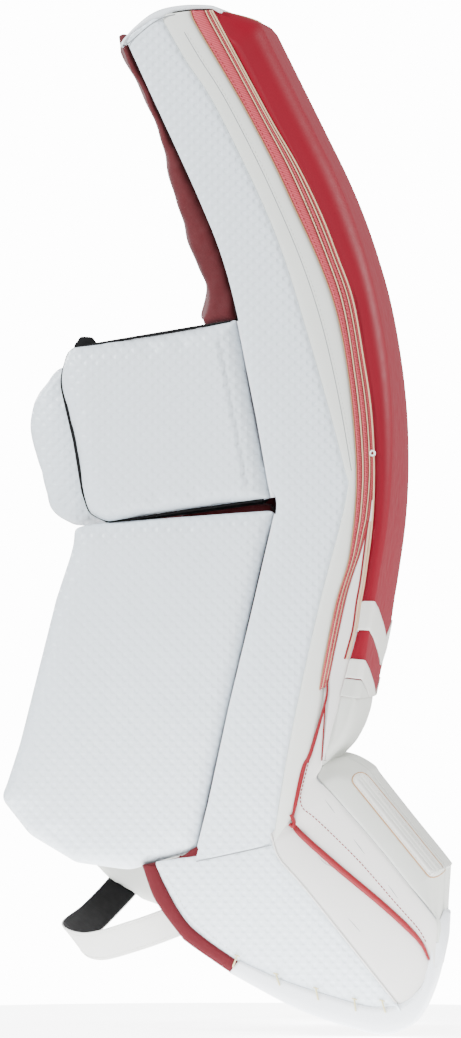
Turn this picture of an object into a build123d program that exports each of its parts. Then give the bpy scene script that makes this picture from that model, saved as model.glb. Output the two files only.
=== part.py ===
"""Ice-hockey goaltender's leg pad for one leg, built as separate sewn, foam, strap and fastener pieces.

The pad is upright as worn: +Z up, +X out of its front face, -Y the inner (medial) edge that slides on
the ice, +Y the outer (lateral) edge. The leg lies behind the pad, on the -X side, between the wings.
Millimetres. The origin is at the bottom centre of the bounding box.
"""
from build123d import *
import math
import os

# ---------------------------------------------------------------- driving dimensions
HALF_WIDTH = 138.0  # centre plane to the outer face of each side skin: an 11 in wide pad
SKIN = 2.5  # synthetic leather skins
FACE_FOAM = 22.0  # soft foam behind the front skin
ROLL_RADIUS = 26.0  # outer roll along the lateral front edge
ROLL_Y = 111.5
ROLL_INSET = 15.0  # the face falls away towards the roll, so the roll lies this far behind the front outline
BEHIND_ROLL = ROLL_INSET + 2 * ROLL_RADIUS + 1
FACE_LATERAL_Y = 84.0  # where the face foam meets the outer roll
FIT_GAP = 0.5  # assembly gap between neighbouring foam blocks

# Front outline in side view: a straight thigh rise, a knee arc and a straight shin, all tangent.
KNEE_CENTRE = (-401.0, 497.0)
KNEE_RADIUS = 545.0
THIGH_LEAN = 26.6  # degrees that the thigh rise leans back
SHIN_LEAN = -9.5
THIGH_LENGTH = 120.0
SHIN_LENGTH = 125.0

# Back outline of the pad in side view: top, knee break, calf break and ankle.
BACK_TOP = (-78.0, 832.0)
BACK_KNEE = (2.0, 655.0)
BACK_CALF = (47.0, 438.0)
BACK_ANKLE = (-20.0, 153.0)
CORE_TOP = (-46.0, 853.0)  # highest point of the foam, under the top cap

# Corners where the shin meets the boot.
ANKLE_LOW = (44.0, 167.0)
ANKLE_MID = (62.0, 194.0)
ANKLE_IN = (72.0, 240.0)
ANKLE_NOTCH = (85.0, 236.0)
ANKLE_BULGE = (106.0, 259.0)

WING_THICKNESS = 26.0
KNEE_BLOCK_THICKNESS = 38.0
WALL_THICKNESS = 34.0
BOARD = 2.5  # plastic stiffeners

STRAP_THICKNESS = 2.5
STRAP_WIDTH = 38.0
STRAP_REACH = -126.0  # rearmost face of the leg straps
PIVOT_HOLE_RADIUS = 2.56
RIVET_RADIUS = 2.5
RIVET_HEAD_RADIUS = 6.0
TAB_THICKNESS = 3.0

EYELET_HOLE_RADIUS = 4.0
EYELET_Y = 25.0

os.makedirs("parts", exist_ok=True)


# ---------------------------------------------------------------- outlines and shared operations
def on_front(angle, inset=0.0):
    """Point of the knee arc whose outward normal rises by angle degrees, moved in by inset."""
    turn = math.radians(angle)
    radius = KNEE_RADIUS - inset
    return (KNEE_CENTRE[0] + radius * math.cos(turn), KNEE_CENTRE[1] + radius * math.sin(turn))


def front_top(inset=0.0):
    """Upper end of the front outline."""
    x, z = on_front(THIGH_LEAN, inset)
    lean = math.radians(THIGH_LEAN)
    return (x - THIGH_LENGTH * math.sin(lean), z + THIGH_LENGTH * math.cos(lean))


def front_bottom(inset=0.0):
    """Lower end of the front outline."""
    x, z = on_front(SHIN_LEAN, inset)
    lean = math.radians(SHIN_LEAN)
    return (x + SHIN_LENGTH * math.sin(lean), z - SHIN_LENGTH * math.cos(lean))


def draw_front(inset=0.0):
    """Front outline, top to bottom, inside the current BuildLine."""
    Line(front_top(inset), on_front(THIGH_LEAN, inset))
    ThreePointArc(on_front(THIGH_LEAN, inset), on_front(8, inset), on_front(SHIN_LEAN, inset))
    Line(on_front(SHIN_LEAN, inset), front_bottom(inset))


def side_plane(y):
    """Plane at this Y whose sketch axes are X and Z. Extruding by a negative amount goes to +Y."""
    return Plane.XZ.offset(-y)


def slab(points, y_low, y_high, corner=0.0, edge=0.0, margin=0.0):
    """Flat piece with a side-view outline, drawn in by margin, with rounded corners and rims."""
    with BuildPart() as piece:
        with BuildSketch(side_plane(y_low)) as outline:
            with BuildLine():
                Polyline(*points, close=True)
            make_face()
            if margin:
                offset(amount=-margin, kind=Kind.INTERSECTION)
            if corner:
                fillet(outline.sketch_local.vertices(), radius=corner)
        extrude(amount=-(y_high - y_low))
        if edge:
            rims = piece.faces().filter_by(Axis.Y).edges()
            fillet(rims, radius=edge)
    return piece.part


def on_back(z):
    """Point of the pad's back outline at this height."""
    corners = [BACK_TOP, BACK_KNEE, BACK_CALF, BACK_ANKLE]
    for (x_high, z_high), (x_low, z_low) in zip(corners, corners[1:]):
        if z >= z_low:
            return (x_low + (x_high - x_low) * (z - z_low) / (z_high - z_low), z)
    return BACK_ANKLE


def save(name, part):
    """Writes one named node."""
    part.label = name
    export_step(part, f"parts/{name}.step")


# ---------------------------------------------------------------- core of the pad
def core_block(upper, lower):
    """Part of the core foam between two lines across the pad, each given back point first."""
    with BuildPart() as block:
        with BuildSketch(side_plane(-HALF_WIDTH + SKIN)):
            with BuildLine():
                draw_front(SKIN + FACE_FOAM)
                Polyline(
                    front_bottom(SKIN + FACE_FOAM), ANKLE_IN, ANKLE_MID, ANKLE_LOW,
                    BACK_ANKLE, BACK_CALF, BACK_KNEE, BACK_TOP, CORE_TOP, front_top(SKIN + FACE_FOAM),
                )
            make_face()
            with BuildLine():
                Polyline(upper[0], upper[1], lower[1], lower[0], close=True)
            make_face(mode=Mode.INTERSECT)
        extrude(amount=-(HALF_WIDTH - SKIN + FACE_LATERAL_Y))
    return block.part


# Straight cuts across the core, back point first, that let it flex at the knee and the calf.
KNEE_LINE = ((-38.0, 641.0), (140.0, 688.0))
CALF_LINE = ((-13.0, 434.0), (160.0, 446.0))


def lift(line, amount):
    """The same line across the pad, higher by amount."""
    return tuple((x, z + amount) for x, z in line)


save("thigh_core", core_block(((-160, 900), (140, 900)), lift(KNEE_LINE, FIT_GAP)))
save("knee_core", core_block(KNEE_LINE, lift(CALF_LINE, FIT_GAP)))
save("shin_core", core_block(CALF_LINE, ((-120, 120), (160, 120))))


def front_band(outer, inner, y_low, y_high):
    """Layer that follows the front outline between two insets."""
    with BuildPart() as band:
        with BuildSketch(side_plane(y_low)):
            with BuildLine():
                draw_front(outer)
                Line(front_bottom(outer), front_bottom(inner))
                draw_front(inner)
                Line(front_top(inner), front_top(outer))
            make_face()
        extrude(amount=-(y_high - y_low))
    return band.part


save("face_foam", front_band(SKIN, SKIN + FACE_FOAM, -HALF_WIDTH + SKIN, FACE_LATERAL_Y))


def lowered(point):
    """The same point, lower by the fit gap, where the ankle roll fits under the front layers."""
    return (point[0], point[1] - FIT_GAP)


def lateral_slab(y_low, y_high):
    """Slab behind the outer roll, with the pad's back outline."""
    with BuildPart() as piece:
        with BuildSketch(side_plane(y_low)):
            with BuildLine():
                draw_front(BEHIND_ROLL)
                Polyline(
                    front_bottom(BEHIND_ROLL), lowered(front_bottom(BEHIND_ROLL)),
                    lowered(front_bottom(SKIN + FACE_FOAM)), lowered(ANKLE_IN), ANKLE_MID, ANKLE_LOW,
                    BACK_ANKLE, BACK_CALF, BACK_KNEE, BACK_TOP, front_top(BEHIND_ROLL),
                )
            make_face()
        extrude(amount=-(y_high - y_low))
    return piece.part


save("lateral_edge_foam", lateral_slab(FACE_LATERAL_Y + FIT_GAP, HALF_WIDTH - SKIN))
save("lateral_panel", lateral_slab(HALF_WIDTH - SKIN, HALF_WIDTH))

with BuildPart() as lateral_roll:
    with BuildLine(side_plane(ROLL_Y)) as roll_path:
        draw_front(ROLL_INSET + ROLL_RADIUS)
    with BuildSketch(Plane(origin=roll_path.line @ 0, z_dir=roll_path.line % 0)):
        Circle(ROLL_RADIUS)
    sweep(path=roll_path.line)
save("lateral_roll", lateral_roll.part)

ANKLE_ROLL = [front_bottom(SKIN + FACE_FOAM), front_bottom(0), ANKLE_BULGE, ANKLE_NOTCH, ANKLE_IN]
save("ankle_roll", slab([lowered(point) for point in ANKLE_ROLL], -HALF_WIDTH, HALF_WIDTH))

# ---------------------------------------------------------------- skins of the medial side
# Lines down the medial side, top to bottom: ridge between slide panel and gusset, then the two
# edges of the stacked binding. Each is a smooth curve through a few points.
RIDGE = [(-42, 840), (-3, 777), (44, 678), (73, 590), (103, 482), (106, 452), (83, 361), (59, 251), ANKLE_LOW]
BINDING_BACK = [(-24, 845), (21, 777), (57, 706), (98, 606), (114, 490), (110, 410), (97, 361), (83, 286)]
BINDING_FRONT = [
    (-8, 841), (34, 777), (71, 706), (112, 606), (130, 490), (127, 410), (110, 361),
    front_bottom(SKIN + FACE_FOAM),
]
MEDIAL_Y = -HALF_WIDTH


def side_skin(first, second, first_is_smooth=True, second_is_smooth=True):
    """Skin on the medial side between two lines that both run from top to bottom."""
    with BuildPart() as skin:
        with BuildSketch(side_plane(MEDIAL_Y)):
            with BuildLine():
                for points, smooth in ((first, first_is_smooth), (second, second_is_smooth)):
                    if smooth:
                        Spline(*points)
                    else:
                        Polyline(*points)
                Line(first[0], second[0])
                if math.dist(first[-1], second[-1]) > 0:
                    Line(first[-1], second[-1])
            make_face()
        extrude(amount=-SKIN)
    return skin.part


back_line = [BACK_TOP, BACK_KNEE, BACK_CALF, BACK_ANKLE]
save("medial_slide_panel", side_skin(back_line, RIDGE, first_is_smooth=False))

with BuildPart() as medial_gusset:
    with BuildSketch(side_plane(MEDIAL_Y)):
        with BuildLine():
            Spline(*RIDGE)
            Polyline(ANKLE_LOW, ANKLE_MID, ANKLE_IN, front_bottom(SKIN + FACE_FOAM), BINDING_BACK[-1])
            Spline(*BINDING_BACK)
            Line(BINDING_BACK[0], RIDGE[0])
        make_face()
    extrude(amount=-SKIN)
save("medial_gusset", medial_gusset.part)
save("medial_binding", side_skin(BINDING_BACK, BINDING_FRONT))

with BuildPart() as face_cover:
    with BuildSketch(side_plane(-HALF_WIDTH + SKIN)):
        with BuildLine():
            draw_front(0)
            Line(front_bottom(0), front_bottom(SKIN))
            draw_front(SKIN)
            Line(front_top(SKIN), front_top(0))
        make_face()
    extrude(amount=-(HALF_WIDTH - SKIN + FACE_LATERAL_Y))
    with BuildSketch(side_plane(MEDIAL_Y)):
        with BuildLine():
            draw_front(0)
            Line(front_bottom(0), BINDING_FRONT[-1])
            Spline(*BINDING_FRONT)
            Polyline(BINDING_FRONT[0], front_top(SKIN + FACE_FOAM), front_top(0))
        make_face()
    extrude(amount=-SKIN)
save("face_cover", face_cover.part)


def chevron(distance, height):
    """Sewn stripe over the shin face: it drops towards the middle of the face."""
    lean = math.radians(-SHIN_LEAN)
    low = on_front(SHIN_LEAN)
    origin = (low[0] - distance * math.sin(lean), 0, low[1] - distance * math.cos(lean))
    face_plane = Plane(origin=origin, x_dir=(0, 1, 0), z_dir=(math.cos(lean), 0, -math.sin(lean)))
    drop = 30.0
    middle = (FACE_LATERAL_Y - HALF_WIDTH) / 2
    with BuildPart() as stripe:
        with BuildSketch(face_plane):
            with BuildLine():
                Polyline(
                    (-HALF_WIDTH, 0), (middle, -drop), (FACE_LATERAL_Y, 0),
                    (FACE_LATERAL_Y, -height), (middle, -drop - height), (-HALF_WIDTH, -height), close=True,
                )
            make_face()
        extrude(amount=1.5)
    return stripe.part


save("shin_stripe_upper", chevron(45, 22))
save("shin_stripe_lower", chevron(84, 8))

with BuildPart() as top_cap:
    with BuildSketch(side_plane(-HALF_WIDTH)):
        with BuildLine():
            Polyline(BACK_TOP, CORE_TOP, front_top(SKIN + FACE_FOAM), front_top(0))
            Spline(front_top(0), (-2, 866), (-44, 864), (-72, 850), (-86, 836))
            Line((-86, 836), BACK_TOP)
        make_face()
    extrude(amount=-(HALF_WIDTH + FACE_LATERAL_Y))
    with BuildSketch(side_plane(FACE_LATERAL_Y)):
        with BuildLine():
            Polyline((-86, 836), BACK_TOP, front_top(BEHIND_ROLL), (-44, 843))
            Spline((-44, 843), (-57, 853), (-74, 848), (-86, 836))
        make_face()
    extrude(amount=-(HALF_WIDTH - FACE_LATERAL_Y))
save("top_cap", top_cap.part)

# ---------------------------------------------------------------- leg side of the pad
LINER_Y = 110.0
save("thigh_liner", slab(
    [
        BACK_TOP, BACK_KNEE, on_back(603), (-20, 600), (-28, 665), (-44, 730), (-54, 765), (-80, 806),
        (-91, 836),
    ],
    -LINER_Y - 8, LINER_Y + 8))


def liner_back(z):
    """Point of the rear faces of the knee cradle and the calf liner at this height."""
    x_top, x_low, z_top, z_low = (-15, 19, 595, 436) if z > BACK_CALF[1] else (22, -40, 435, 158)
    return (x_low + (x_top - x_low) * (z - z_low) / (z_top - z_low), z)


CALF_LINER_Y = 104.0
CRADLE_MEDIAL_Y = -92.0
save("knee_cradle", slab([on_back(602), on_back(441), liner_back(441), liner_back(595)],
                         CRADLE_MEDIAL_Y, CALF_LINER_Y, edge=6))
save("calf_liner", slab([on_back(437), on_back(155), liner_back(158), liner_back(435)],
                        -CALF_LINER_Y, CALF_LINER_Y, edge=6))

# The stack of knee foam stays on the pad; the knee block in front of it swings away.
STACK_OUTLINE = [
    liner_back(577), liner_back(443), (-128, 428), (-150, 440), (-169, 512), (-163, 536), (-143, 562),
]
STACK_Y = (-99.0, -61.0)
stack_foam = slab(STACK_OUTLINE, STACK_Y[0] + SKIN, STACK_Y[1] - SKIN, corner=6, margin=SKIN)
save("knee_stack_cover", slab(STACK_OUTLINE, *STACK_Y, corner=8) - stack_foam)
save("knee_stack_foam", stack_foam)


# ---------------------------------------------------------------- wings, each on its sewn hinge
def wing_solid(outline, y_low, y_high, margin, corner):
    """Wing whose hinge edge, the first two points, is half round so that it can turn beside the pad."""
    (x0, z0), (x1, z1) = outline[:2]
    along = Vector(x1 - x0, 0, z1 - z0).normalized()
    half = (y_high - y_low) / 2 - margin
    middle = (y_low + y_high) / 2
    hinge = Plane(origin=Vector(x0, middle, z0) - 40 * along, x_dir=(0, 1, 0), z_dir=along)
    back = -1 if hinge.y_dir.X > 0 else 1
    with BuildPart() as wing:
        with BuildSketch(side_plane(y_low + margin)) as side:
            with BuildLine():
                Polyline(*outline, close=True)
            make_face()
            if margin:
                offset(amount=-margin, kind=Kind.INTERSECTION)
            fillet([v for v in side.sketch_local.vertices() if v.X < min(x0, x1) - 40], radius=corner)
        extrude(amount=-2 * half)
        with BuildSketch(hinge):
            with Locations((0, back * (margin + half + 150))):
                Rectangle(2 * half, 300)
            with Locations((0, back * (margin + half))):
                Circle(half)
        extrude(amount=500, mode=Mode.INTERSECT)
    return wing.part


def save_wing(name, outline, y_low, y_high, corner, lining_y, board=False):
    """Cover, foam and lining of one wing, and the stiffener in it where it has one."""
    foam = wing_solid(outline, y_low, y_high, SKIN, corner - SKIN)
    save(f"{name}_cover", wing_solid(outline, y_low, y_high, 0, corner) - foam)
    if board:
        middle = (y_low + y_high) / 2
        stiffener = slab(outline, middle - BOARD / 2, middle + BOARD / 2, margin=20)
        foam = foam - stiffener
        save(f"{name}_board", stiffener)
    save(f"{name}_foam", foam)
    save(f"{name}_lining", slab(outline, *lining_y, margin=15))


def hinge_edge(z_high, z_low, gap=1.0):
    """Hinge edge of a wing, just behind the pad's back outline."""
    return [(on_back(z)[0] - gap, z) for z in (z_high, z_low)]


KNEE_BLOCK = hinge_edge(601, 451) + [
    (-96, 431), (-112, 440), (-118, 457), (-125, 499), (-136, 550), (-128, 577),
]
save_wing("knee_block", KNEE_BLOCK, -140, -140 + KNEE_BLOCK_THICKNESS, 9, (-102, -100.5))
OUTER_KNEE = hinge_edge(601, 455) + [(-84, 453), (-98, 462), (-108, 499), (-112, 550), (-100, 582)]
save_wing("outer_knee_wing", OUTER_KNEE, 108, HALF_WIDTH, 9, (106.5, 108))

CALF_WING = hinge_edge(435, 156) + [
    (-77, 141), (-122, 147), (-160, 170), (-185, 200), (-170, 247), (-140, 366), (-128, 405), (-112, 422),
]
save_wing("calf_wing", CALF_WING, -HALF_WIDTH, -HALF_WIDTH + WING_THICKNESS, 7, (-112, -110.5), board=True)
OUTER_CALF = hinge_edge(435, 160) + [
    (-77, 157), (-120, 158), (-150, 178), (-160, 210), (-128, 370), (-110, 430), (-96, 446), (20, 447),
]
save_wing("outer_calf_wing", OUTER_CALF, HALF_WIDTH - WING_THICKNESS, HALF_WIDTH, 7, (110.5, 112), board=True)

# ---------------------------------------------------------------- boot
WALL_IN = HALF_WIDTH - WALL_THICKNESS
BINDING = 1.5  # thickness of the edge bindings
BINDING_WIDTH = 13.0
BOOT_TOP = [(62.5, 193.2), (44.3, 166.2), (-20, 151.5)]
HEEL = [(-56, 137), (-52, 124), (-36, 98), (9, 58)]
SOLE = [(9, 58), (86, 16), (112, 1.5), (130, 2.5), (154, 18), (170, 43), (183, 84)]
BOOT_FRONT = [(184, 112), (183, 143), (130, 219), (120, 230), (104, 237), (86, 235), (73, 239)]
BOOT_OUTLINE = BOOT_TOP + HEEL + SOLE[1:] + BOOT_FRONT

# Lines that divide the medial side of the boot into its panels, from the ankle down to the toe.
BOOT_RIDGE = [(42, 193), (47, 154), (66, 134), (101, 88), (142, 34), (160, -10)]
PIPING_BACK = [(46, 193), (79, 163), (112, 134), (149, 104), (171, 75), (220, 20)]
PIPING_FRONT = [(49, 197), (82, 167), (115, 138), (152, 108), (175, 79), (225, 24)]
BOOT_SEAM = [(78, 250), (86, 212), (112, 187), (149, 145), (182, 97), (230, 30)]
BOOT_FAR = [(300, 260), (300, 20)]


def boot_piece(region, y_low, y_high, inset=0.0, cut=None):
    """Piece of the boot: its outline drawn in by inset, within a region, less its outline drawn in by cut."""
    with BuildPart() as piece:
        with BuildSketch(side_plane(y_low)):
            with BuildLine():
                Polyline(*BOOT_OUTLINE, close=True)
            boot_face = make_face()
            offset(amount=-inset, kind=Kind.INTERSECTION, mode=Mode.REPLACE)
            if cut is not None:
                offset(boot_face, amount=-cut, kind=Kind.INTERSECTION, mode=Mode.SUBTRACT)
            with BuildLine():
                Polyline(*region, close=True)
            make_face(mode=Mode.INTERSECT)
        extrude(amount=-(y_high - y_low))
    return piece.part


WHOLE = [(-300, 300), (300, 300), (300, -50), (-300, -50)]
save("boot_medial_wall", boot_piece(WHOLE, -HALF_WIDTH + SKIN, -WALL_IN, inset=SKIN))
save("boot_lateral_wall", boot_piece(WHOLE, WALL_IN, HALF_WIDTH - SKIN, inset=SKIN))

# Wedge of foam over the instep, between the walls, and the nylon that lines the channel under it.
CHANNEL_ROOF = [(66, 200), (100, 168), (142, 113), (148, 60), (176, 52)]
ROOF_LINING = [(64, 197.5), (98.3, 166.3), (139.8, 112.3), (145.7, 58.5)]
save("boot_instep_foam", boot_piece(
    [(66, 250)] + CHANNEL_ROOF + [(300, 52), (300, 250)], -WALL_IN, WALL_IN, inset=SKIN))
save("boot_channel_lining", slab(ROOF_LINING + list(reversed(CHANNEL_ROOF[:4])), -WALL_IN, WALL_IN))
save("boot_front_cover", boot_piece(
    [(94, 300), (94, 225), (160, 84), (300, 84), (300, 300)], -HALF_WIDTH + SKIN, HALF_WIDTH - SKIN, cut=SKIN))

MEDIAL_SKIN = (-HALF_WIDTH, -HALF_WIDTH + SKIN)
save("boot_slide_panel", boot_piece([(-300, 200)] + BOOT_RIDGE + [(-300, -10)], *MEDIAL_SKIN))
save("boot_lower_panel", boot_piece(BOOT_RIDGE + list(reversed(PIPING_BACK)), *MEDIAL_SKIN))
piping_outline = PIPING_BACK + list(reversed(PIPING_FRONT))
save("boot_piping", boot_piece(piping_outline, -HALF_WIDTH - 1, -HALF_WIDTH + SKIN))
save("boot_middle_panel", boot_piece(PIPING_FRONT + list(reversed(BOOT_SEAM)), *MEDIAL_SKIN))
save("boot_instep_panel", boot_piece(BOOT_SEAM + list(reversed(BOOT_FAR)), *MEDIAL_SKIN))
save("boot_lateral_panel", boot_piece(WHOLE, HALF_WIDTH - SKIN, HALF_WIDTH))


def edge_bindings(region):
    """Tape folded over the edge of each boot wall within a region, one solid on each side of the boot."""
    both = []
    for side in (-1, 1):
        low, high = sorted((side * WALL_IN, side * (HALF_WIDTH + BINDING)))
        flange_low, flange_high = sorted((side * HALF_WIDTH, side * (HALF_WIDTH + BINDING)))
        wrap = boot_piece(region, low, high, inset=-BINDING, cut=0)
        flange = boot_piece(region, flange_low, flange_high, inset=-BINDING, cut=BINDING_WIDTH)
        both.append(wrap + flange)
    return Compound(children=both)


save("heel_bindings", edge_bindings([(-100, 143), (-30, 143), (30, 75), (14, 40), (-100, 40)]))
save("sole_bindings", edge_bindings([(14, 40), (30, 75), (120, 75), (168, 66), (230, 66), (230, -50), (14, -50)]))

# Waxed cord ties through the sole bindings of both walls.
TIES = ((12, 66, 10), (48, 49, -20), (80, 33, -25), (112, 17, -30), (138, 18, 60))
TIE_RADIUS = 0.9
TIE_Y = HALF_WIDTH + BINDING + TIE_RADIUS
with BuildPart() as sole_ties:
    for side in (-1, 1):
        for x, z, turn in TIES:
            with Locations(Location((x, side * TIE_Y, z), (0, turn + 90, 0))):
                Cylinder(radius=TIE_RADIUS, height=9)
save("sole_ties", sole_ties.part)

FLAP_Y = (108.0, 120.0)
flap = slab([(-30, 146), (-140, 151), (-153, 147), (-78, 106), (-40, 100), (-20, 90)], *FLAP_Y)
save("ankle_flap", flap - boot_piece(WHOLE, *FLAP_Y, inset=-BINDING))

# Bar across the toe, under the skate, with two brass eyelets for the toe lace.
BRIDGE_Z = (16.0, 20.0)
EYELET_X = 134.0
with BuildPart() as toe_bridge:
    with BuildSketch(Plane.XY.offset(BRIDGE_Z[0])):
        with Locations((EYELET_X, 0)):
            Rectangle(32, 2 * WALL_IN)
        with Locations((EYELET_X, -EYELET_Y), (EYELET_X, EYELET_Y)):
            Circle(EYELET_HOLE_RADIUS + 1, mode=Mode.SUBTRACT)
    extrude(amount=BRIDGE_Z[1] - BRIDGE_Z[0])
save("toe_bridge", toe_bridge.part)

EYELET_RIM = EYELET_HOLE_RADIUS + 3
with BuildPart() as eyelet:
    with BuildSketch(Plane.XZ):
        with BuildLine():
            Polyline(
                (EYELET_HOLE_RADIUS, -1), (EYELET_RIM, -1), (EYELET_RIM, 0), (EYELET_HOLE_RADIUS + 1, 0),
                (EYELET_HOLE_RADIUS + 1, 4), (EYELET_RIM, 4), (EYELET_RIM, 5), (EYELET_HOLE_RADIUS, 5),
                close=True,
            )
        make_face()
    revolve(axis=Axis.Z)
save("toe_eyelets", Compound(children=[
    Location((EYELET_X, y, BRIDGE_Z[0])) * eyelet.part for y in (-EYELET_Y, EYELET_Y)
]))

# ---------------------------------------------------------------- boot strap
# Centre and width direction of each cross section. They run from the lateral sewn end, under the heel, to
# the medial end.
BOOT_STRAP_ROUTE = [
    ((-103, 126, 140), (27, 0, -13)),
    ((-116, 124, 117), (26, 0, -15)),
    ((-131, 75, 82), (27, -6, -9)),
    ((-136, -10, 70), (26, 5, -10)),
    ((-112, -62, 72), (17, 10, -22)),
    ((-76, -86, 84), (12, 8, -24)),
    ((-40, -96, 97), (14, 8, -20)),
]
BOOT_STRAP_WIDTH = 28.0
BOOT_STRAP_LAYER = 1.6


def boot_strap_layer(side):
    """One layer of the boot strap: side -1 is the layer away from the foot, 1 the one against it."""
    centres = [Vector(*centre) for centre, width in BOOT_STRAP_ROUTE]
    with BuildPart() as layer:
        for index, (centre, width) in enumerate(BOOT_STRAP_ROUTE):
            before = centres[max(index - 1, 0)]
            after = centres[min(index + 1, len(centres) - 1)]
            along = (after - before).normalized()
            across = Vector(*width) - along * Vector(*width).dot(along)
            with BuildSketch(Plane(origin=centre, x_dir=across, z_dir=along)):
                with Locations((0, side * BOOT_STRAP_LAYER / 2)):
                    Rectangle(BOOT_STRAP_WIDTH, BOOT_STRAP_LAYER)
        loft(ruled=True)
    return layer.part


save("boot_strap", boot_strap_layer(-1))
save("boot_strap_lining", boot_strap_layer(1))

# ---------------------------------------------------------------- leg straps on their riveted tabs
STRAP_GAP = 0.4
STRAP_END = 12.0  # strap length past its rivet
STRAP_BEND = 32.0
HEAD_THICKNESS = 1.5
TAB_PIVOT = 26.0  # rivet to the liner's rear face
LATERAL_LEG = 88.6
MEDIAL_LEG = -88.6
KNEE_MEDIAL_LEG = -54.7

tabs = []
rivets = []


def across_pad(x, y_low, y_high, z, radius):
    """Cylinder that runs across the pad."""
    middle = Location((x, (y_low + y_high) / 2, z), (90, 0, 0))
    return middle * Cylinder(radius=radius, height=y_high - y_low)


def leg_strap(name, z, medial_leg):
    """Strap round the back of the leg, with the tab and the rivet at each of its ends."""
    pivot_x = liner_back(z)[0] - TAB_PIVOT
    front = pivot_x + STRAP_END
    with BuildPart() as strap:
        with BuildSketch(Plane.XY.offset(z - STRAP_WIDTH / 2)):
            with BuildLine():
                FilletPolyline(
                    (front, medial_leg),
                    (STRAP_REACH, medial_leg),
                    (STRAP_REACH, LATERAL_LEG),
                    (front, LATERAL_LEG),
                    radius=STRAP_BEND,
                )
                offset(amount=STRAP_THICKNESS, side=Side.RIGHT)
            make_face()
        extrude(amount=STRAP_WIDTH)
        fillet(strap.edges().filter_by(Axis.Y).group_by(Axis.X)[-1], radius=STRAP_END)
        with Locations(Location((pivot_x, 0, z), (90, 0, 0))):
            Cylinder(radius=PIVOT_HOLE_RADIUS, height=3 * HALF_WIDTH, mode=Mode.SUBTRACT)
    save(name, strap.part)

    for leg in (medial_leg, LATERAL_LEG):
        side = math.copysign(1, leg)
        tab_in = leg + side * STRAP_GAP
        tab_out = tab_in + side * TAB_THICKNESS
        head_in = leg - side * (STRAP_THICKNESS + STRAP_GAP)
        tab = slab(
            [liner_back(z + 16), liner_back(z - 16), (pivot_x - 11, z - 11), (pivot_x - 11, z + 11)],
            *sorted((tab_in, tab_out)))
        tabs.append(tab - across_pad(pivot_x, *sorted((tab_in, tab_out)), z, PIVOT_HOLE_RADIUS))
        shaft = across_pad(pivot_x, *sorted((head_in, tab_out)), z, RIVET_RADIUS)
        outer_face = sorted((tab_out, tab_out + side * HEAD_THICKNESS))
        inner_face = sorted((head_in, head_in - side * HEAD_THICKNESS))
        outer_head = across_pad(pivot_x, *outer_face, z, RIVET_HEAD_RADIUS)
        inner_head = across_pad(pivot_x, *inner_face, z, RIVET_HEAD_RADIUS)
        rivets.append(shaft + outer_head + inner_head)


leg_strap("knee_strap", 505.0, KNEE_MEDIAL_LEG)
leg_strap("calf_strap_upper", 370.0, MEDIAL_LEG)
leg_strap("calf_strap_lower", 235.0, MEDIAL_LEG)
save("strap_tabs", Compound(children=tabs))
save("strap_rivets", Compound(children=rivets))
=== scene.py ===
"""Ice-hockey goaltender's leg pad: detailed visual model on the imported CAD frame.

Lengths in this script are millimetres until a mesh is made, and then metres. +Z is up, +X out of the
front face, -Y the inner (medial) side that the camera sees. Side-view lines are lists of (X, Z) points.
"""
import math

import bmesh
import bpy
import numpy as np
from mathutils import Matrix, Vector
from mathutils.bvhtree import BVHTree


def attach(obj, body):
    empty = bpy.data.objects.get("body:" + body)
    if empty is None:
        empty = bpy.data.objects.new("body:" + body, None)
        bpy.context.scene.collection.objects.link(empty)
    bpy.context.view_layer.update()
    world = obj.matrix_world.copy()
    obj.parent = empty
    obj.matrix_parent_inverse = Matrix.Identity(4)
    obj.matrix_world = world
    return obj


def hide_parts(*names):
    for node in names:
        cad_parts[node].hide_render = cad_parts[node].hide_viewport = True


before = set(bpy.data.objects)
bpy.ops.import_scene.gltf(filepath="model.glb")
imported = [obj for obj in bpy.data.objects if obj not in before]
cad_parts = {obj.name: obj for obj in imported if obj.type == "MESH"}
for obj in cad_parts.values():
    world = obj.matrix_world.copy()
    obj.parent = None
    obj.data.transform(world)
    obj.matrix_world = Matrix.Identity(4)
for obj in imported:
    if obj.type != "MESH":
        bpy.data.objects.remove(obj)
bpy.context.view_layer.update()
MM = 0.001

# ---------------------------------------------------------------- camera and light
SENSOR = 36
CAMERA_AZIMUTH = math.radians(7)
CAMERA_DISTANCE = 9.0
VIEW_HEIGHT = 0.8823
AIM_RIGHT = -0.0081
AIM_UP = 0.434
AMBIENT = 0.7
BACKDROP = 14.0
SOFT_BOXES = (  # name, place, aim, size, power and colour
    ("front_box", (2.4, 0.2, 1.3), (0.1, 0.0, 0.5), 1.0, 105, (1, 1, 1)),
    ("camera_box", (-1.9, -1.7, 2.0), (0, 0, 0.45), 0.6, 150, (0.95, 0.98, 1.0)),
    ("fill_box", (0.6, -3.2, 0.7), (0, 0, 0.4), 1.6, 70, (1, 1, 1)),
    ("back_box", (-1.8, 1.6, 1.6), (0, 0, 0.4), 1.2, 60, (1, 1, 1)),
)


def put(name, data, place, aim):
    """New camera or light at a place, turned to a point."""
    made = bpy.data.objects.new(name, data)
    bpy.context.scene.collection.objects.link(made)
    made.location = place
    made.rotation_euler = (Vector(aim) - Vector(place)).to_track_quat("-Z", "Y").to_euler()
    return made


def make_camera():
    """Long lens, level, 7 degrees round from the medial side towards the front."""
    data = bpy.data.cameras.new("camera")
    data.sensor_width = SENSOR
    data.lens = SENSOR * CAMERA_DISTANCE / VIEW_HEIGHT
    data.clip_end = 100
    right = Vector((math.cos(CAMERA_AZIMUTH), math.sin(CAMERA_AZIMUTH), 0))
    towards = Vector((math.sin(CAMERA_AZIMUTH), -math.cos(CAMERA_AZIMUTH), 0))
    aim = right * AIM_RIGHT + Vector((0, 0, AIM_UP))
    bpy.context.scene.camera = put("camera", data, aim + towards * CAMERA_DISTANCE, aim)


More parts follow.
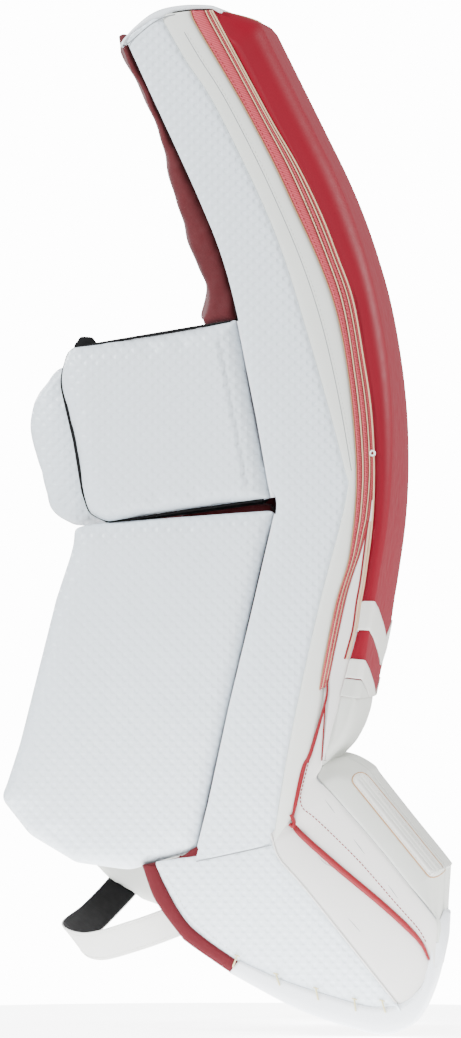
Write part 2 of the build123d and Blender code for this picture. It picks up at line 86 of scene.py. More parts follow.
def make_light():
    """White backdrop with softer light from it, and four soft boxes."""
    world = bpy.data.worlds.new("studio")
    world.use_nodes = True
    nodes = world.node_tree.nodes
    links = world.node_tree.links
    rays = nodes.new("ShaderNodeLightPath")
    level = nodes.new("ShaderNodeMapRange")
    level.inputs["To Min"].default_value = AMBIENT
    level.inputs["To Max"].default_value = BACKDROP
    links.new(rays.outputs["Is Camera Ray"], level.inputs["Value"])
    links.new(level.outputs["Result"], nodes["Background"].inputs["Strength"])
    nodes["Background"].inputs["Color"].default_value = (1, 1, 1, 1)
    bpy.context.scene.world = world
    for name, place, aim, size, power, colour in SOFT_BOXES:
        data = bpy.data.lights.new(name, "AREA")
        data.size = size
        data.energy = power
        data.color = colour
        put(name, data, place, aim)


# ---------------------------------------------------------------- lines
def unit(vectors):
    """Vectors brought to length one."""
    return vectors / np.linalg.norm(vectors, axis=-1, keepdims=True)


def resample(points, count):
    """Evenly spaced points along a run of straight pieces."""
    points = np.asarray(points, float)
    steps = np.linalg.norm(np.diff(points, axis=0), axis=1)
    along = np.concatenate([[0.0], np.cumsum(steps)])
    where = np.linspace(0, along[-1], count)
    return np.stack([np.interp(where, along, column) for column in points.T], axis=1)


def smooth(points, count):
    """Evenly spaced points along a smooth curve through the given points."""
    points = np.asarray(points, float)
    points = np.vstack([2 * points[0] - points[1], points, 2 * points[-1] - points[-2]])
    steps = np.linspace(0, 1, 24, endpoint=False)[:, None]
    dense = []
    for before, start, end, after in zip(points, points[1:], points[2:], points[3:]):
        dense.append(0.5 * (
            2 * start
            + (end - before) * steps
            + (2 * before - 5 * start + 4 * end - after) * steps ** 2
            + (3 * start - before - 3 * end + after) * steps ** 3
        ))
    return resample(np.vstack(dense + [points[-2:-1]]), count)


def bend(start, corner, end, steps):
    """Points of a curve from start to end that is drawn towards a corner."""
    return [(1 - step) ** 2 * start + 2 * step * (1 - step) * corner + step ** 2 * end for step in steps]


def rounded(outline, radius, spacing=4.0):
    """Closed outline with its corners rounded, as evenly spaced points. The radius may be one number, or
    one for each corner."""
    outline = np.asarray(outline, float)
    radii = np.broadcast_to(radius, len(outline))
    points = []
    corners = zip(np.roll(outline, 1, axis=0), outline, np.roll(outline, -1, axis=0), radii)
    for before, corner, after, radius in corners:
        to_before = unit(before - corner)
        to_after = unit(after - corner)
        turn = math.acos(np.clip(to_before @ to_after, -1, 1))
        room = min(np.linalg.norm(before - corner), np.linalg.norm(after - corner))
        reach = min(radius / math.tan(turn / 2), 0.45 * room)
        points += bend(corner + to_before * reach, corner, corner + to_after * reach, np.linspace(0, 1, 7))
    points.append(points[0])
    length = np.linalg.norm(np.diff(points, axis=0), axis=1).sum()
    return resample(points, max(12, int(length / spacing)) + 1)[:-1]


def grown(outline, amount):
    """Closed outline moved outwards by an amount, or inwards by a negative one."""
    outline = np.asarray(outline, float)
    following = np.roll(outline, -1, axis=0)
    run = unit(following - np.roll(outline, 1, axis=0))
    normal = np.stack([run[:, 1], -run[:, 0]], axis=1)
    area = np.sum(outline[:, 0] * following[:, 1] - following[:, 0] * outline[:, 1])
    return outline + normal * amount * math.copysign(1, area)


def depth_inside(points, outline):
    """Distance of each point to a closed outline."""
    nearest = np.full(len(points), np.inf)
    for start, end in zip(outline, np.roll(outline, -1, axis=0)):
        run = end - start
        share = np.clip((points - start) @ run / (run @ run), 0, 1)
        gap = points - start - share[:, None] * run
        nearest = np.minimum(nearest, np.linalg.norm(gap, axis=1))
    return nearest


def at_y(line, y):
    """Side-view line placed at a Y, or at one Y for each of its points."""
    line = np.asarray(line, float)
    return np.stack([line[:, 0], np.broadcast_to(y, len(line)), line[:, 1]], axis=1)


# ---------------------------------------------------------------- meshes
def place_mesh(name, mesh):
    """Smooth shaded object of a mesh."""
    mesh.shade_smooth()
    obj = bpy.data.objects.new(name, mesh)
    bpy.context.scene.collection.objects.link(obj)
    return obj


def place_work(name, work):
    """Smooth shaded object of an editable mesh, which is freed."""
    mesh = bpy.data.meshes.new(name)
    work.to_mesh(mesh)
    work.free()
    return place_mesh(name, mesh)


def closed_mesh(name, points, faces):
    """Closed object from points in millimetres, with all its faces turned outwards."""
    mesh = bpy.data.meshes.new(name)
    mesh.from_pydata((np.asarray(points) * MM).tolist(), [], [tuple(map(int, face)) for face in faces])
    mesh.validate()
    work = bmesh.new()
    work.from_mesh(mesh)
    bmesh.ops.recalc_face_normals(work, faces=work.faces)
    work.to_mesh(mesh)
    work.free()
    return place_mesh(name, mesh)


def coordinates(mesh):
    """Points of a mesh in millimetres."""
    flat = np.empty(len(mesh.vertices) * 3)
    mesh.vertices.foreach_get("co", flat)
    return flat.reshape(-1, 3) / MM


def set_coordinates(mesh, points):
    """Moves the points of a mesh, given in millimetres."""
    mesh.vertices.foreach_set("co", (points * MM).ravel())
    mesh.update()


def grid_normals(grid, outward):
    """Unit normals of a grid of points. The middle one faces outward."""
    normals = np.cross(np.gradient(grid, axis=0), np.gradient(grid, axis=1))
    normals /= np.maximum(np.linalg.norm(normals, axis=2), 1e-6)[:, :, None]
    middle = normals[grid.shape[0] // 2, grid.shape[1] // 2]
    return normals * math.copysign(1, middle @ np.asarray(outward, float))


def shell(name, grid, thickness, outward):
    """Skin of even thickness under surface points, given as a grid or as a list of lines."""
    if isinstance(grid, list):
        grid = np.stack(grid, axis=1)
    under = grid - grid_normals(grid, outward) * thickness
    index = np.arange(grid.shape[0] * grid.shape[1]).reshape(grid.shape[:2])
    quads = np.stack([index[:-1, :-1], index[:-1, 1:], index[1:, 1:], index[1:, :-1]], axis=2).reshape(-1, 4)
    rim = np.concatenate([index[0], index[1:, -1], index[-1, -2::-1], index[-2:0:-1, 0]])
    following = np.roll(rim, -1)
    sides = np.stack([following, rim, rim + index.size, following + index.size], axis=1)
    points = np.vstack([grid.reshape(-1, 3), under.reshape(-1, 3)])
    return closed_mesh(name, points, np.vstack([quads, quads[:, ::-1] + index.size, sides]))


def dimples(x, z):
    """Depth, 0 to 1, of the embossed dimples of the slide leather."""
    return np.maximum(0, np.cos(math.pi * x / DIMPLE) * np.cos(math.pi * z / DIMPLE))


def strip(name, first, second, crown=1.5, tuck=1.5, thickness=2.5, across=13, dimple=0.0):
    """Skin sewn down along two lines on the medial side, rising between them towards the camera side."""
    share = 0.5 - 0.5 * np.cos(np.linspace(0, math.pi, across))
    edge = np.minimum(share, 1 - share)
    rise = (1 - np.abs(2 * share - 1) ** 3) * crown - tuck * np.exp(-(edge / 0.035) ** 2)
    grid = first[:, None, :] * (1 - share)[None, :, None] + second[:, None, :] * share[None, :, None]
    grid[:, :, 1] -= rise[None, :]
    if dimple:
        fade = np.clip(edge / 0.08, 0, 1)
        grid[:, :, 1] += dimple * dimples(grid[:, :, 0], grid[:, :, 2]) * fade[None, :]
    return shell(name, grid, thickness, (0, -1, 0))


def sweep(name, rings):
    """Closed skin through rings of points, with flat ends."""
    count, sides = rings.shape[:2]
    index = np.arange(count * sides).reshape(count, sides)
    beside = np.roll(index, -1, axis=1)
    quads = np.stack([index[:-1], beside[:-1], beside[1:], index[1:]], axis=2).reshape(-1, 4)
    return closed_mesh(name, rings.reshape(-1, 3), [*quads, index[0], index[-1]])


def tube(name, path, radius, sides=8):
    """Round cord along a path. The radius may be one number, or one for each point."""
    path = np.asarray(path, float)
    radius = np.broadcast_to(radius, len(path))[:, None, None]
    run = unit(np.gradient(path, axis=0))
    side = unit(np.cross(run, (0.013, 1.0, 0.017)))
    other = np.cross(run, side)
    turns = (np.arange(sides) * 2 * math.pi / sides)[None, :, None]
    ring = side[:, None] * np.cos(turns) + other[:, None] * np.sin(turns)
    return sweep(name, path[:, None] + radius * ring)


def join(name, objects):
    """One object from several plain meshes."""
    work = bmesh.new()
    for obj in objects:
        data = obj.data
        work.from_mesh(data)
        bpy.data.objects.remove(obj)
        bpy.data.meshes.remove(data)
    return place_work(name, work)


def stitches(name, path, pitch=4.0, length=2.7, radius=0.38):
    """Row of short thread stitches along a path."""
    path = np.asarray(path, float)
    total = np.linalg.norm(np.diff(path, axis=0), axis=1).sum()
    count = max(2, int(total / pitch))
    fine = resample(path, count * 12 + 1)
    step = total / (count * 12)
    half = max(1, int(length / 2 / step))
    threads = []
    for index in range(6, count * 12, 12):
        piece = fine[max(index - half, 0):index + half + 1]
        bow = radius * np.array([0.35] + [1.0] * (len(piece) - 2) + [0.35])
        threads.append(tube(f"{name}_{index}", piece, bow, sides=6))
    return join(name, threads)


def prism(name, outline, y_low, y_high, edge, segments=4):
    """Slab with a side-view outline. Its rims are rounded, unless the edge is 0."""
    work = bmesh.new()
    low = [work.verts.new((x * MM, y_low * MM, z * MM)) for x, z in outline]
    result = bmesh.ops.extrude_face_region(work, geom=[work.faces.new(low)])
    moved = [item for item in result["geom"] if isinstance(item, bmesh.types.BMVert)]
    bmesh.ops.translate(work, verts=moved, vec=(0, (y_high - y_low) * MM, 0))
    bmesh.ops.recalc_face_normals(work, faces=work.faces)
    rims = [item for item in work.edges if abs(item.verts[0].co.y - item.verts[1].co.y) < 1e-6]
    if edge:
        bmesh.ops.bevel(work, geom=rims, offset=edge * MM, segments=segments, profile=0.5, affect="EDGES")
    return place_work(name, work)


def bake_modifiers(obj):
    """Replaces an object's mesh by what its modifiers make of it."""
    bpy.context.view_layer.update()
    shaped = obj.evaluated_get(bpy.context.evaluated_depsgraph_get())
    mesh = bpy.data.meshes.new_from_object(shaped)
    obj.modifiers.clear()
    obj.data = mesh
    mesh.shade_smooth()


def puff(obj, pressure, cap):
    """Swells a mesh by cloth simulation. No point moves further than the cap."""
    start = coordinates(obj.data)
    settings = obj.modifiers.new("puff", "CLOTH").settings
    for key, value in PUFF_CLOTH.items():
        setattr(settings, key, value)
    settings.uniform_pressure_force = pressure
    settings.effector_weights.gravity = 0
    scene = bpy.context.scene
    for number in range(1, PUFF_FRAMES + 1):
        scene.frame_set(number)
    end = coordinates(obj.evaluated_get(bpy.context.evaluated_depsgraph_get()).data)
    obj.modifiers.clear()
    scene.frame_set(1)
    length = np.linalg.norm(end - start, axis=1)
    share = np.minimum(length, cap) / np.maximum(length, 1e-6)
    set_coordinates(obj.data, start + (end - start) * share[:, None])


def cushion(name, outline, y_low, y_high, edge, crown=3.0, swell=3.0, dimple=0.0, shape=None):
    """Padded slab: remeshed, its rims rounded and its sides crowned, swollen by simulation, subdivided once
    and fitted to its outline. The swelling starts from a slab smaller by half of what it may swell."""
    room = swell / 2
    inner = grown(outline, -room)
    obj = prism(name, inner, y_low + room, y_high - room, 0)
    remesh = obj.modifiers.new("remesh", "REMESH")
    remesh.mode = "VOXEL"
    remesh.voxel_size = VOXEL * MM
    bake_modifiers(obj)
    points = coordinates(obj.data)
    middle = (y_low + y_high) / 2
    half = (y_high - y_low) / 2 - room
    depth = depth_inside(points[:, [0, 2]], inner)
    rim = half - edge + np.sqrt(edge ** 2 - (edge - np.minimum(depth, edge)) ** 2)
    out = (points[:, 1] - middle) / half
    points[:, 1] = middle + out * (rim + crown * (1 - np.exp(-depth / CROWN_REACH)))
    set_coordinates(obj.data, points)
    puff(obj, PRESSURE, swell)
    smoothing = obj.modifiers.new("subdivision", "SUBSURF")
    smoothing.levels = 1
    smoothing.render_levels = 1
    bake_modifiers(obj)
    points = coordinates(obj.data)
    plan = points[:, [0, 2]]
    wanted = np.asarray(outline, float)
    scale = np.ptp(wanted, axis=0) / np.ptp(plan, axis=0)
    points[:, [0, 2]] = wanted.min(axis=0) + (plan - plan.min(axis=0)) * scale
    if shape:
        points = shape(points)
        set_coordinates(obj.data, points)
    if dimple:
        normals = np.empty(len(points) * 3)
        obj.data.vertices.foreach_get("normal", normals)
        normals = normals.reshape(-1, 3)
        sunk = dimple * dimples(points[:, 0], points[:, 2]) * np.abs(normals[:, 1]) ** 2
        points = points - normals * sunk[:, None]
    set_coordinates(obj.data, points)
    return obj


def surface_of(*objects):
    """Search tree over several meshes in metres."""
    work = bmesh.new()
    for obj in objects:
        work.from_mesh(obj.data)
    bmesh.ops.triangulate(work, faces=work.faces)
    tree = BVHTree.FromBMesh(work)
    work.free()
    return tree


def laid_on(tree, line, lift):
    """Side-view line dropped on the medial surface from outside and lifted off it."""
    points = []
    y = MEDIAL
    for x, z in line:
        hit = tree.ray_cast(Vector((x * MM, -0.4, z * MM)), Vector((0, 1, 0)))
        if hit[0] is not None:
            y = hit[0].y / MM
        points.append((x, y - lift, z))
    return np.array(points)


# ---------------------------------------------------------------- materials
def srgb(*values):
    """Linear colour from 0 to 255 display values."""
    shares = np.array(values) / 255
    linear = np.where(shares <= 0.04045, shares / 12.92, ((shares + 0.055) / 1.055) ** 2.4)
    return (*linear.tolist(), 1)


class Finish:
    """Procedural material built node by node on the object's own coordinates, which are metres."""

    def __init__(self, name, roughness=0.5, sheen=0.0, metallic=0.0, coat=0.0, specular=0.5):
        self.material = bpy.data.materials.new(name)
        self.material.use_nodes = True
        self.tree = self.material.node_tree
        self.shader = self.tree.nodes["Principled BSDF"]
        amounts = {"Roughness": roughness, "Metallic": metallic, "Sheen Weight": sheen, "Coat Weight": coat,
                   "Coat Roughness": 0.35, "Specular IOR Level": specular}
        for socket, amount in amounts.items():
            self.shader.inputs[socket].default_value = amount
        self.place = self.node("ShaderNodeTexCoord").outputs["Object"]

    def node(self, kind, **settings):
        """New node with some of its settings."""
        made = self.tree.nodes.new(kind)
        for key, value in settings.items():
            setattr(made, key, value)
        return made

    def link(self, start, end):
        """Joins an output to an input."""
        self.tree.links.new(start, end)

    def math(self, operation, first, second=None):
        """Result of one sum on outputs or numbers."""
        made = self.node("ShaderNodeMath", operation=operation)
        for socket, value in zip(made.inputs, (first, second)):
            if isinstance(value, bpy.types.NodeSocket):
                self.link(value, socket)
            elif value is not None:
                socket.default_value = value
        return made.outputs[0]

    def noise(self, size_mm, detail=2.0):
        """Cloudy pattern, 0 to 1, with features of about this size."""
        made = self.node("ShaderNodeTexNoise")
        made.inputs["Scale"].default_value = 1000 / size_mm
        made.inputs["Detail"].default_value = detail
        self.link(self.place, made.inputs["Vector"])
        return made.outputs["Fac"]

    def cells(self, size_mm):
        """Distance to the nearest cell centre, for grain."""
        made = self.node("ShaderNodeTexVoronoi", feature="SMOOTH_F1")
        made.inputs["Scale"].default_value = 1000 / size_mm
        self.link(self.place, made.inputs["Vector"])
        return made.outputs["Distance"]

    def axes(self):
        """The three coordinates as separate outputs."""
        made = self.node("ShaderNodeSeparateXYZ")
        self.link(self.place, made.inputs[0])
        return made.outputs

    def waves(self, position, pitch_mm):
        """Wave from -1 to 1 that repeats at this pitch along a coordinate."""
        return self.math("SINE", self.math("MULTIPLY", position, 2 * math.pi * 1000 / pitch_mm))

    def ramp(self, value, low, high):
        """Value moved from 0..1 to a new range."""
        made = self.node("ShaderNodeMapRange")
        self.link(value, made.inputs["Value"])
        made.inputs["To Min"].default_value = low
        made.inputs["To Max"].default_value = high
        return made.outputs["Result"]

    def colour(self, first, second, share):
        """Mix of two colours into the base colour."""
        made = self.node("ShaderNodeMix", data_type="RGBA")
        self.link(share, made.inputs["Factor"])
        made.inputs["A"].default_value = first
        made.inputs["B"].default_value = second
        self.link(made.outputs["Result"], self.shader.inputs["Base Color"])

    def rough(self, value, low, high):
        """Roughness that varies between two numbers."""
        self.link(self.ramp(value, low, high), self.shader.inputs["Roughness"])

    def bump(self, height, depth_mm, strength=0.6):
        """Fine relief. Several calls stack."""
        made = self.node("ShaderNodeBump")
        made.inputs["Strength"].default_value = strength
        made.inputs["Distance"].default_value = depth_mm * MM
        self.link(height, made.inputs["Height"])
        normal = self.shader.inputs["Normal"]
        if normal.is_linked:
            self.link(normal.links[0].from_socket, made.inputs["Normal"])
        self.link(made.outputs["Normal"], normal)


def darker(colour, share):
    """Colour multiplied by a share."""
    return (*[value * share for value in colour[:3]], 1)


def leather(name, colour, roughness=0.42, grain=1.6, relief=0.12, mottle=0.93, coat=0.0, specular=0.5):
    """Synthetic leather: fine pebble grain, soft mottling and scuffed sheen."""
    finish = Finish(name, roughness, coat=coat, specular=specular)
    cloud = finish.noise(38, 3)
    finish.colour(darker(colour, mottle), colour, cloud)
    finish.rough(finish.noise(11, 2), roughness - 0.06, roughness + 0.1)
    finish.bump(finish.cells(grain), relief, 0.5)
    finish.bump(finish.noise(9, 3), 0.5, 0.25)
    return finish


def dimpled_leather(name, colour):
    """White slide leather with staggered embossed dimples, whose pits carry a painted highlight."""
    finish = Finish(name, 0.4, sheen=0.05)
    axes = finish.axes()
    across = finish.waves(finish.math("ADD", axes["X"], DIMPLE * MM / 2), 2 * DIMPLE)
    up = finish.waves(finish.math("ADD", axes["Z"], DIMPLE * MM / 2), 2 * DIMPLE)
    pit = finish.math("MAXIMUM", finish.math("MULTIPLY", across, up), 0.0)
    cloud = finish.ramp(finish.noise(38, 3), 0.0, 0.55)
    # Painted highlight: the dimple pits are painted lighter, by an amount that varies at random.
    pit_painted_highlight = finish.math("MULTIPLY", pit, finish.ramp(finish.noise(60, 2), -0.2, 0.8))
    finish.colour(darker(colour, 0.92), colour, finish.math("ADD", cloud, pit_painted_highlight))
    finish.rough(finish.math("ADD", finish.math("MULTIPLY", pit, -0.5), finish.noise(11)), 0.36, 0.48)
    finish.bump(finish.cells(1.2), 0.06, 0.5)
    finish.bump(finish.noise(22, 3), 1.6, 0.3)
    finish.bump(finish.math("SUBTRACT", 1.0, pit), DIMPLE_RELIEF, 1.0)
    return finish


def knit(name, colour, pitch=2.2, relief=0.25, sheen=0.1, specular=0.5):
    """Soft liner cloth with small ribs."""
    finish = Finish(name, 0.85, sheen=sheen, specular=specular)
    axes = finish.axes()
    up = finish.waves(axes["Z"], pitch)
    slant = finish.waves(finish.math("ADD", axes["X"], axes["Y"]), pitch)
    weave = finish.ramp(finish.math("MULTIPLY", up, slant), 0.5, 1.0)
    cloud = finish.ramp(finish.noise(30), 0.5, 1.3)
    finish.colour(darker(colour, 0.72), colour, finish.math("MULTIPLY", weave, cloud))
    finish.rough(finish.noise(6), 0.75, 0.95)
    finish.bump(weave, relief, 0.6)
    finish.bump(finish.noise(14, 4), 1.2, 0.4)
    return finish


def ribbed(name, colour, dark, pitch=1.9):
    """Woven binding with cross ribs, whose threads show a darker red between them."""
    finish = Finish(name, 0.6, sheen=0.1)
    axes = finish.axes()
    wave = finish.waves(finish.math("ADD", axes["Z"], finish.math("MULTIPLY", axes["X"], 0.35)), pitch)
    rib = finish.math("ADD", finish.math("MULTIPLY", wave, 0.5), 0.5)
    worn = finish.math("MULTIPLY", finish.ramp(rib, 0.35, 1.0), finish.ramp(finish.noise(7, 3), 0.7, 1.15))
    finish.colour(dark, colour, worn)
    finish.rough(rib, 0.7, 0.5)
    finish.bump(rib, 0.3, 0.7)
    return finish


def webbing(name, colour, pitch=1.6):
    """Tightly woven tape."""
    finish = Finish(name, 0.7, sheen=0.02, specular=0.25)
    axes = finish.axes()
    first = finish.waves(finish.math("ADD", axes["X"], axes["Z"]), pitch)
    slant = finish.math("SUBTRACT", finish.math("ADD", axes["X"], axes["Y"]), axes["Z"])
    second = finish.waves(slant, pitch)
    weave = finish.ramp(finish.math("MULTIPLY", first, second), 0.5, 1.0)
    finish.colour(darker(colour, 0.8), colour, weave)
    finish.rough(finish.noise(5), 0.6, 0.8)
    finish.bump(weave, 0.2, 0.6)
    return finish


def metal(name, colour, roughness):
    """Worn plated metal."""
    finish = Finish(name, roughness, metallic=1.0)
    finish.colour(darker(colour, 0.6), colour, finish.noise(3, 3))
    finish.rough(finish.noise(1.5, 3), roughness - 0.08, roughness + 0.15)
    finish.bump(finish.noise(0.8, 2), 0.05, 0.4)
    return finish


def make_finishes():
    """Every material of the pad, by name."""
    white = srgb(222, 231, 238)
    finishes = {
        "slide": dimpled_leather("slide_leather", white),
        "white": leather("smooth_white_leather", srgb(224, 228, 233)),
        "gusset": leather("gusset_leather", srgb(216, 218, 212), 0.45),
        "grey": leather("ankle_leather", srgb(198, 200, 194), 0.5),
        "pale": leather("boot_leather", srgb(214, 212, 209), 0.45, mottle=0.96),
        "red": leather("face_leather", srgb(118, 2, 26), 0.5, 1.1, 0.05, 0.92, specular=0.2),
        "stripe": leather("stripe_leather", srgb(214, 214, 208), 0.42),
        "pink": ribbed("pink_ribbed_tape", srgb(186, 62, 76), srgb(128, 12, 24)),
        "deep_pink": ribbed("red_ribbed_tape", srgb(150, 26, 38), srgb(108, 6, 14)),
        "cream": webbing("cream_piping_cloth", srgb(206, 172, 140), 1.1),
        "tan": webbing("tan_edge_tape", srgb(178, 136, 92), 1.0),
        "red_piping": leather("red_piping_leather", srgb(122, 3, 20), 0.4, 1.0, 0.05, specular=0.35),
        "red_tape": webbing("red_tape", srgb(80, 1, 14), 1.4),
        "liner": knit("red_liner_knit", srgb(80, 2, 12)),
        "back": knit("back_lining_knit", srgb(90, 6, 16), 1.8, 0.15),
        "black": knit("black_nylon", srgb(9, 9, 10), 1.2, 0.1, sheen=0.02, specular=0.2),
        "strap": webbing("white_webbing", srgb(212, 212, 208), 2.0),
        "harness": leather("harness_leather", srgb(222, 220, 214), 0.45, 1.4, 0.1, 0.88),
        "tab": leather("tab_leather", srgb(96, 66, 46), 0.5, 1.5, 0.12, 0.8),
        "bridge": leather("bridge_leather", srgb(70, 50, 38), 0.55, 1.5, 0.12, 0.8),
        "board": leather("board_plastic", srgb(60, 60, 62), 0.4, 0.8, 0.02, 0.95),
        "brass": metal("brass_eyelet", srgb(212, 172, 96), 0.28),
        "steel": metal("steel_rivet", srgb(196, 198, 200), 0.3),
        "red_thread": webbing("red_thread", srgb(128, 6, 20), 0.5),
        "white_thread": webbing("white_thread", srgb(214, 214, 208), 0.5),
        "tie_cord": webbing("waxed_cord_thread", srgb(206, 196, 150), 0.6),
        "seam": leather("seam_shadow", srgb(140, 144, 147), 0.6, 0.8, 0.05, 0.85),
        "badge": leather("badge_vinyl", srgb(222, 222, 217), 0.3, 0.8, 0.03, 0.97, coat=0.3),
    }
    return {name: finish.material for name, finish in finishes.items()}


def dress(obj, material, body="root", replaced=()):
    """Gives a piece its material, body and the CAD nodes that it stands for."""
    obj.data.materials.clear()
    obj.data.materials.append(FINISH[material])
    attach(obj, body)
    if replaced:
        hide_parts(*replaced)
    return obj


# ---------------------------------------------------------------- shared sizes and lines
MEDIAL = -138.0
DIMPLE = 5.0
DIMPLE_RELIEF = 0.5
VOXEL = 4.5
CROWN_REACH = 16.0
PRESSURE = 4.0
PUFF_FRAMES = 20
PUFF_CLOTH = {
    "use_pressure": True, "quality": 4, "mass": 0.3, "tension_stiffness": 12, "compression_stiffness": 12,
    "shear_stiffness": 5, "bending_stiffness": 1.5,
}

# The front outline of the pad in side view: a knee arc between two straight runs.
KNEE_CENTRE = np.array([-401.0, 497.0])
KNEE_RADIUS = 545.0
THIGH_LEAN = math.radians(26.6)
SHIN_LEAN = math.radians(-9.5)
THIGH_LENGTH = 120.0
SHIN_LENGTH = 125.0
TOP_FOLD = (-6.0, 861.0)  # where the face skin meets the top cap
FOLD_REACH = 6.0

BACK_EDGE = [
    (-80, 837), (-56, 785), (-36, 742), (-17, 700), (1, 655), (15, 603), (32, 518), (41, 467), (47, 438),
    (26, 348), (9, 278), (-9, 195), (-21, 147.5),
]
RIDGE = [
    (-51, 856), (-30, 819), (-3, 777), (44, 678), (73, 590), (103, 482), (106, 452), (83, 361), (59, 251),
    (44, 162),
]
STACK_BACK = [
    (-25.5, 859.5), (-19, 845), (21, 777), (57, 706), (98, 606), (114, 490), (110, 410), (97, 361), (83, 290),
]
FACE_EDGE = [
    (-6, 860), (28, 797), (45.5, 765), (67, 728), (85.5, 690), (100, 653), (112.5, 618), (121, 572),
    (128, 525), (130.5, 478), (129, 432), (123, 385), (119.5, 365), (116, 341), (109.5, 317), (105.5, 302),
    (101, 286),
]
STACK_FRONT_LOW = [(127.5, 440), (124, 425), (118.5, 405), (111.5, 385), (105, 361), (91.5, 297)]
SHIN_PIPING = [(90.5, 299), (89, 282), (76.5, 239), (70.5, 226), (63, 193), (61, 184)]

FINISH = make_finishes()
make_camera()
make_light()


def front_point(angle, inset):
    """Point of the knee arc, moved in by inset."""
    return KNEE_CENTRE + (KNEE_RADIUS - inset) * np.array([math.cos(angle), math.sin(angle)])


def front_line(inset, count, hooked=True):
    """Front outline, top to bottom, with the rounded fold at its top."""
    up = np.array([-math.sin(THIGH_LEAN), math.cos(THIGH_LEAN)])
    top = front_point(THIGH_LEAN, inset) + THIGH_LENGTH * up
    arc = [front_point(angle, inset) for angle in np.linspace(THIGH_LEAN, SHIN_LEAN, 60)]
    foot = arc[-1] + SHIN_LENGTH * np.array([math.sin(SHIN_LEAN), -math.cos(SHIN_LEAN)])
    hook = []
    if hooked:
        hook = bend(np.array(TOP_FOLD), top + FOLD_REACH * up, top, np.linspace(0, 0.95, 12))
    return resample(hook + [top] + arc + [foot], count)


# ---------------------------------------------------------------- face and outer roll
STATIONS = 150
FACE_FLAT_Y = -60.0
FACE_FALL = 0.0006
CORNER = 21.0


def fall(y, flat=FACE_FLAT_Y):
    """How far the front lies back at this Y, because the pad is crowned towards its lateral side."""
    return FACE_FALL * max(0.0, y - flat) ** 2


def make_face_grid():
    """Face skin: from its sewn edge on the medial side, round the corner and across the front."""
    edge = smooth(FACE_EDGE, STATIONS)
    front = front_line(0, STATIONS)
    inward = front_line(CORNER, STATIONS) - front
    inward /= np.maximum(np.linalg.norm(inward, axis=1), 1e-6)[:, None]
    room = np.linalg.norm(front - edge, axis=1)
    radius = np.clip(room * 0.92, 0.4, CORNER)
    columns = [
        at_y(edge, MEDIAL + 2.5),
        at_y(edge, MEDIAL + 0.3),
    ]
    side = front + inward * radius[:, None]
    for share in (0.12, 0.45, 0.8):
        bulge = 2.2 * math.sin(math.pi * share) * np.clip(room - radius, 0, 8) / 8
        columns.append(at_y(edge + (side - edge) * share, MEDIAL - 0.6 - bulge))
    for turn in np.radians([8, 22, 36, 50, 64, 78, 90]):
        inset = radius * (1 - math.sin(turn))
        columns.append(at_y(front + inward * inset[:, None], MEDIAL + radius * (1 - math.cos(turn))))
    thin = np.clip(room / CORNER, 0, 1)
    lowered = np.clip(1 - np.arange(STATIONS) / 14, 0, 1)
    for y, extra in ((-100, 0), (-80, 0), (-60, 0), (-40, 0), (-20, 0), (0, 0), (20, 0), (40, 0), (58, 0),
                     (70, 0), (78, 0), (82, 2.0), (84, 6.0), (84.5, 14.0)):
        line = front + inward * (fall(y) + extra) * thin[:, None]
        line[:, 1] -= lowered * max(0, y - 60) * 0.6
        columns.append(at_y(line, y))
    return np.stack(columns, axis=1)


def grid_point(grid, row, column):
    """Point of a grid between its stations."""
    i = int(np.clip(row, 0, grid.shape[0] - 1.001))
    j = int(np.clip(column, 0, grid.shape[1] - 1.001))
    a = row - i
    b = column - j
    return (
        grid[i, j] * (1 - a) * (1 - b) + grid[i + 1, j] * a * (1 - b)
        + grid[i, j + 1] * (1 - a) * b + grid[i + 1, j + 1] * a * b
    )


ROLL_RADIUS = 26.0
ROLL_Y = 111.5
ROLL_INSET = 15.0
CHEVRON_START_Y = -128.0
CHEVRON_MIDDLE_Y = 16.0
CHEVRON_DROP = 31.0
CHEVRON_FOOT = 285.0
CHEVRONS = (  # name, CAD nodes, height at the medial edge, height of the stripe and material
    ("chevron_upper", ("shin_stripe_upper",), 365.0, 24.0, "stripe"),
    ("chevron_lower", ("shin_stripe_lower",), 317.0, 15.5, "stripe"),
    ("shin_foot", (), 300.5, 0.0, "grey"),
)


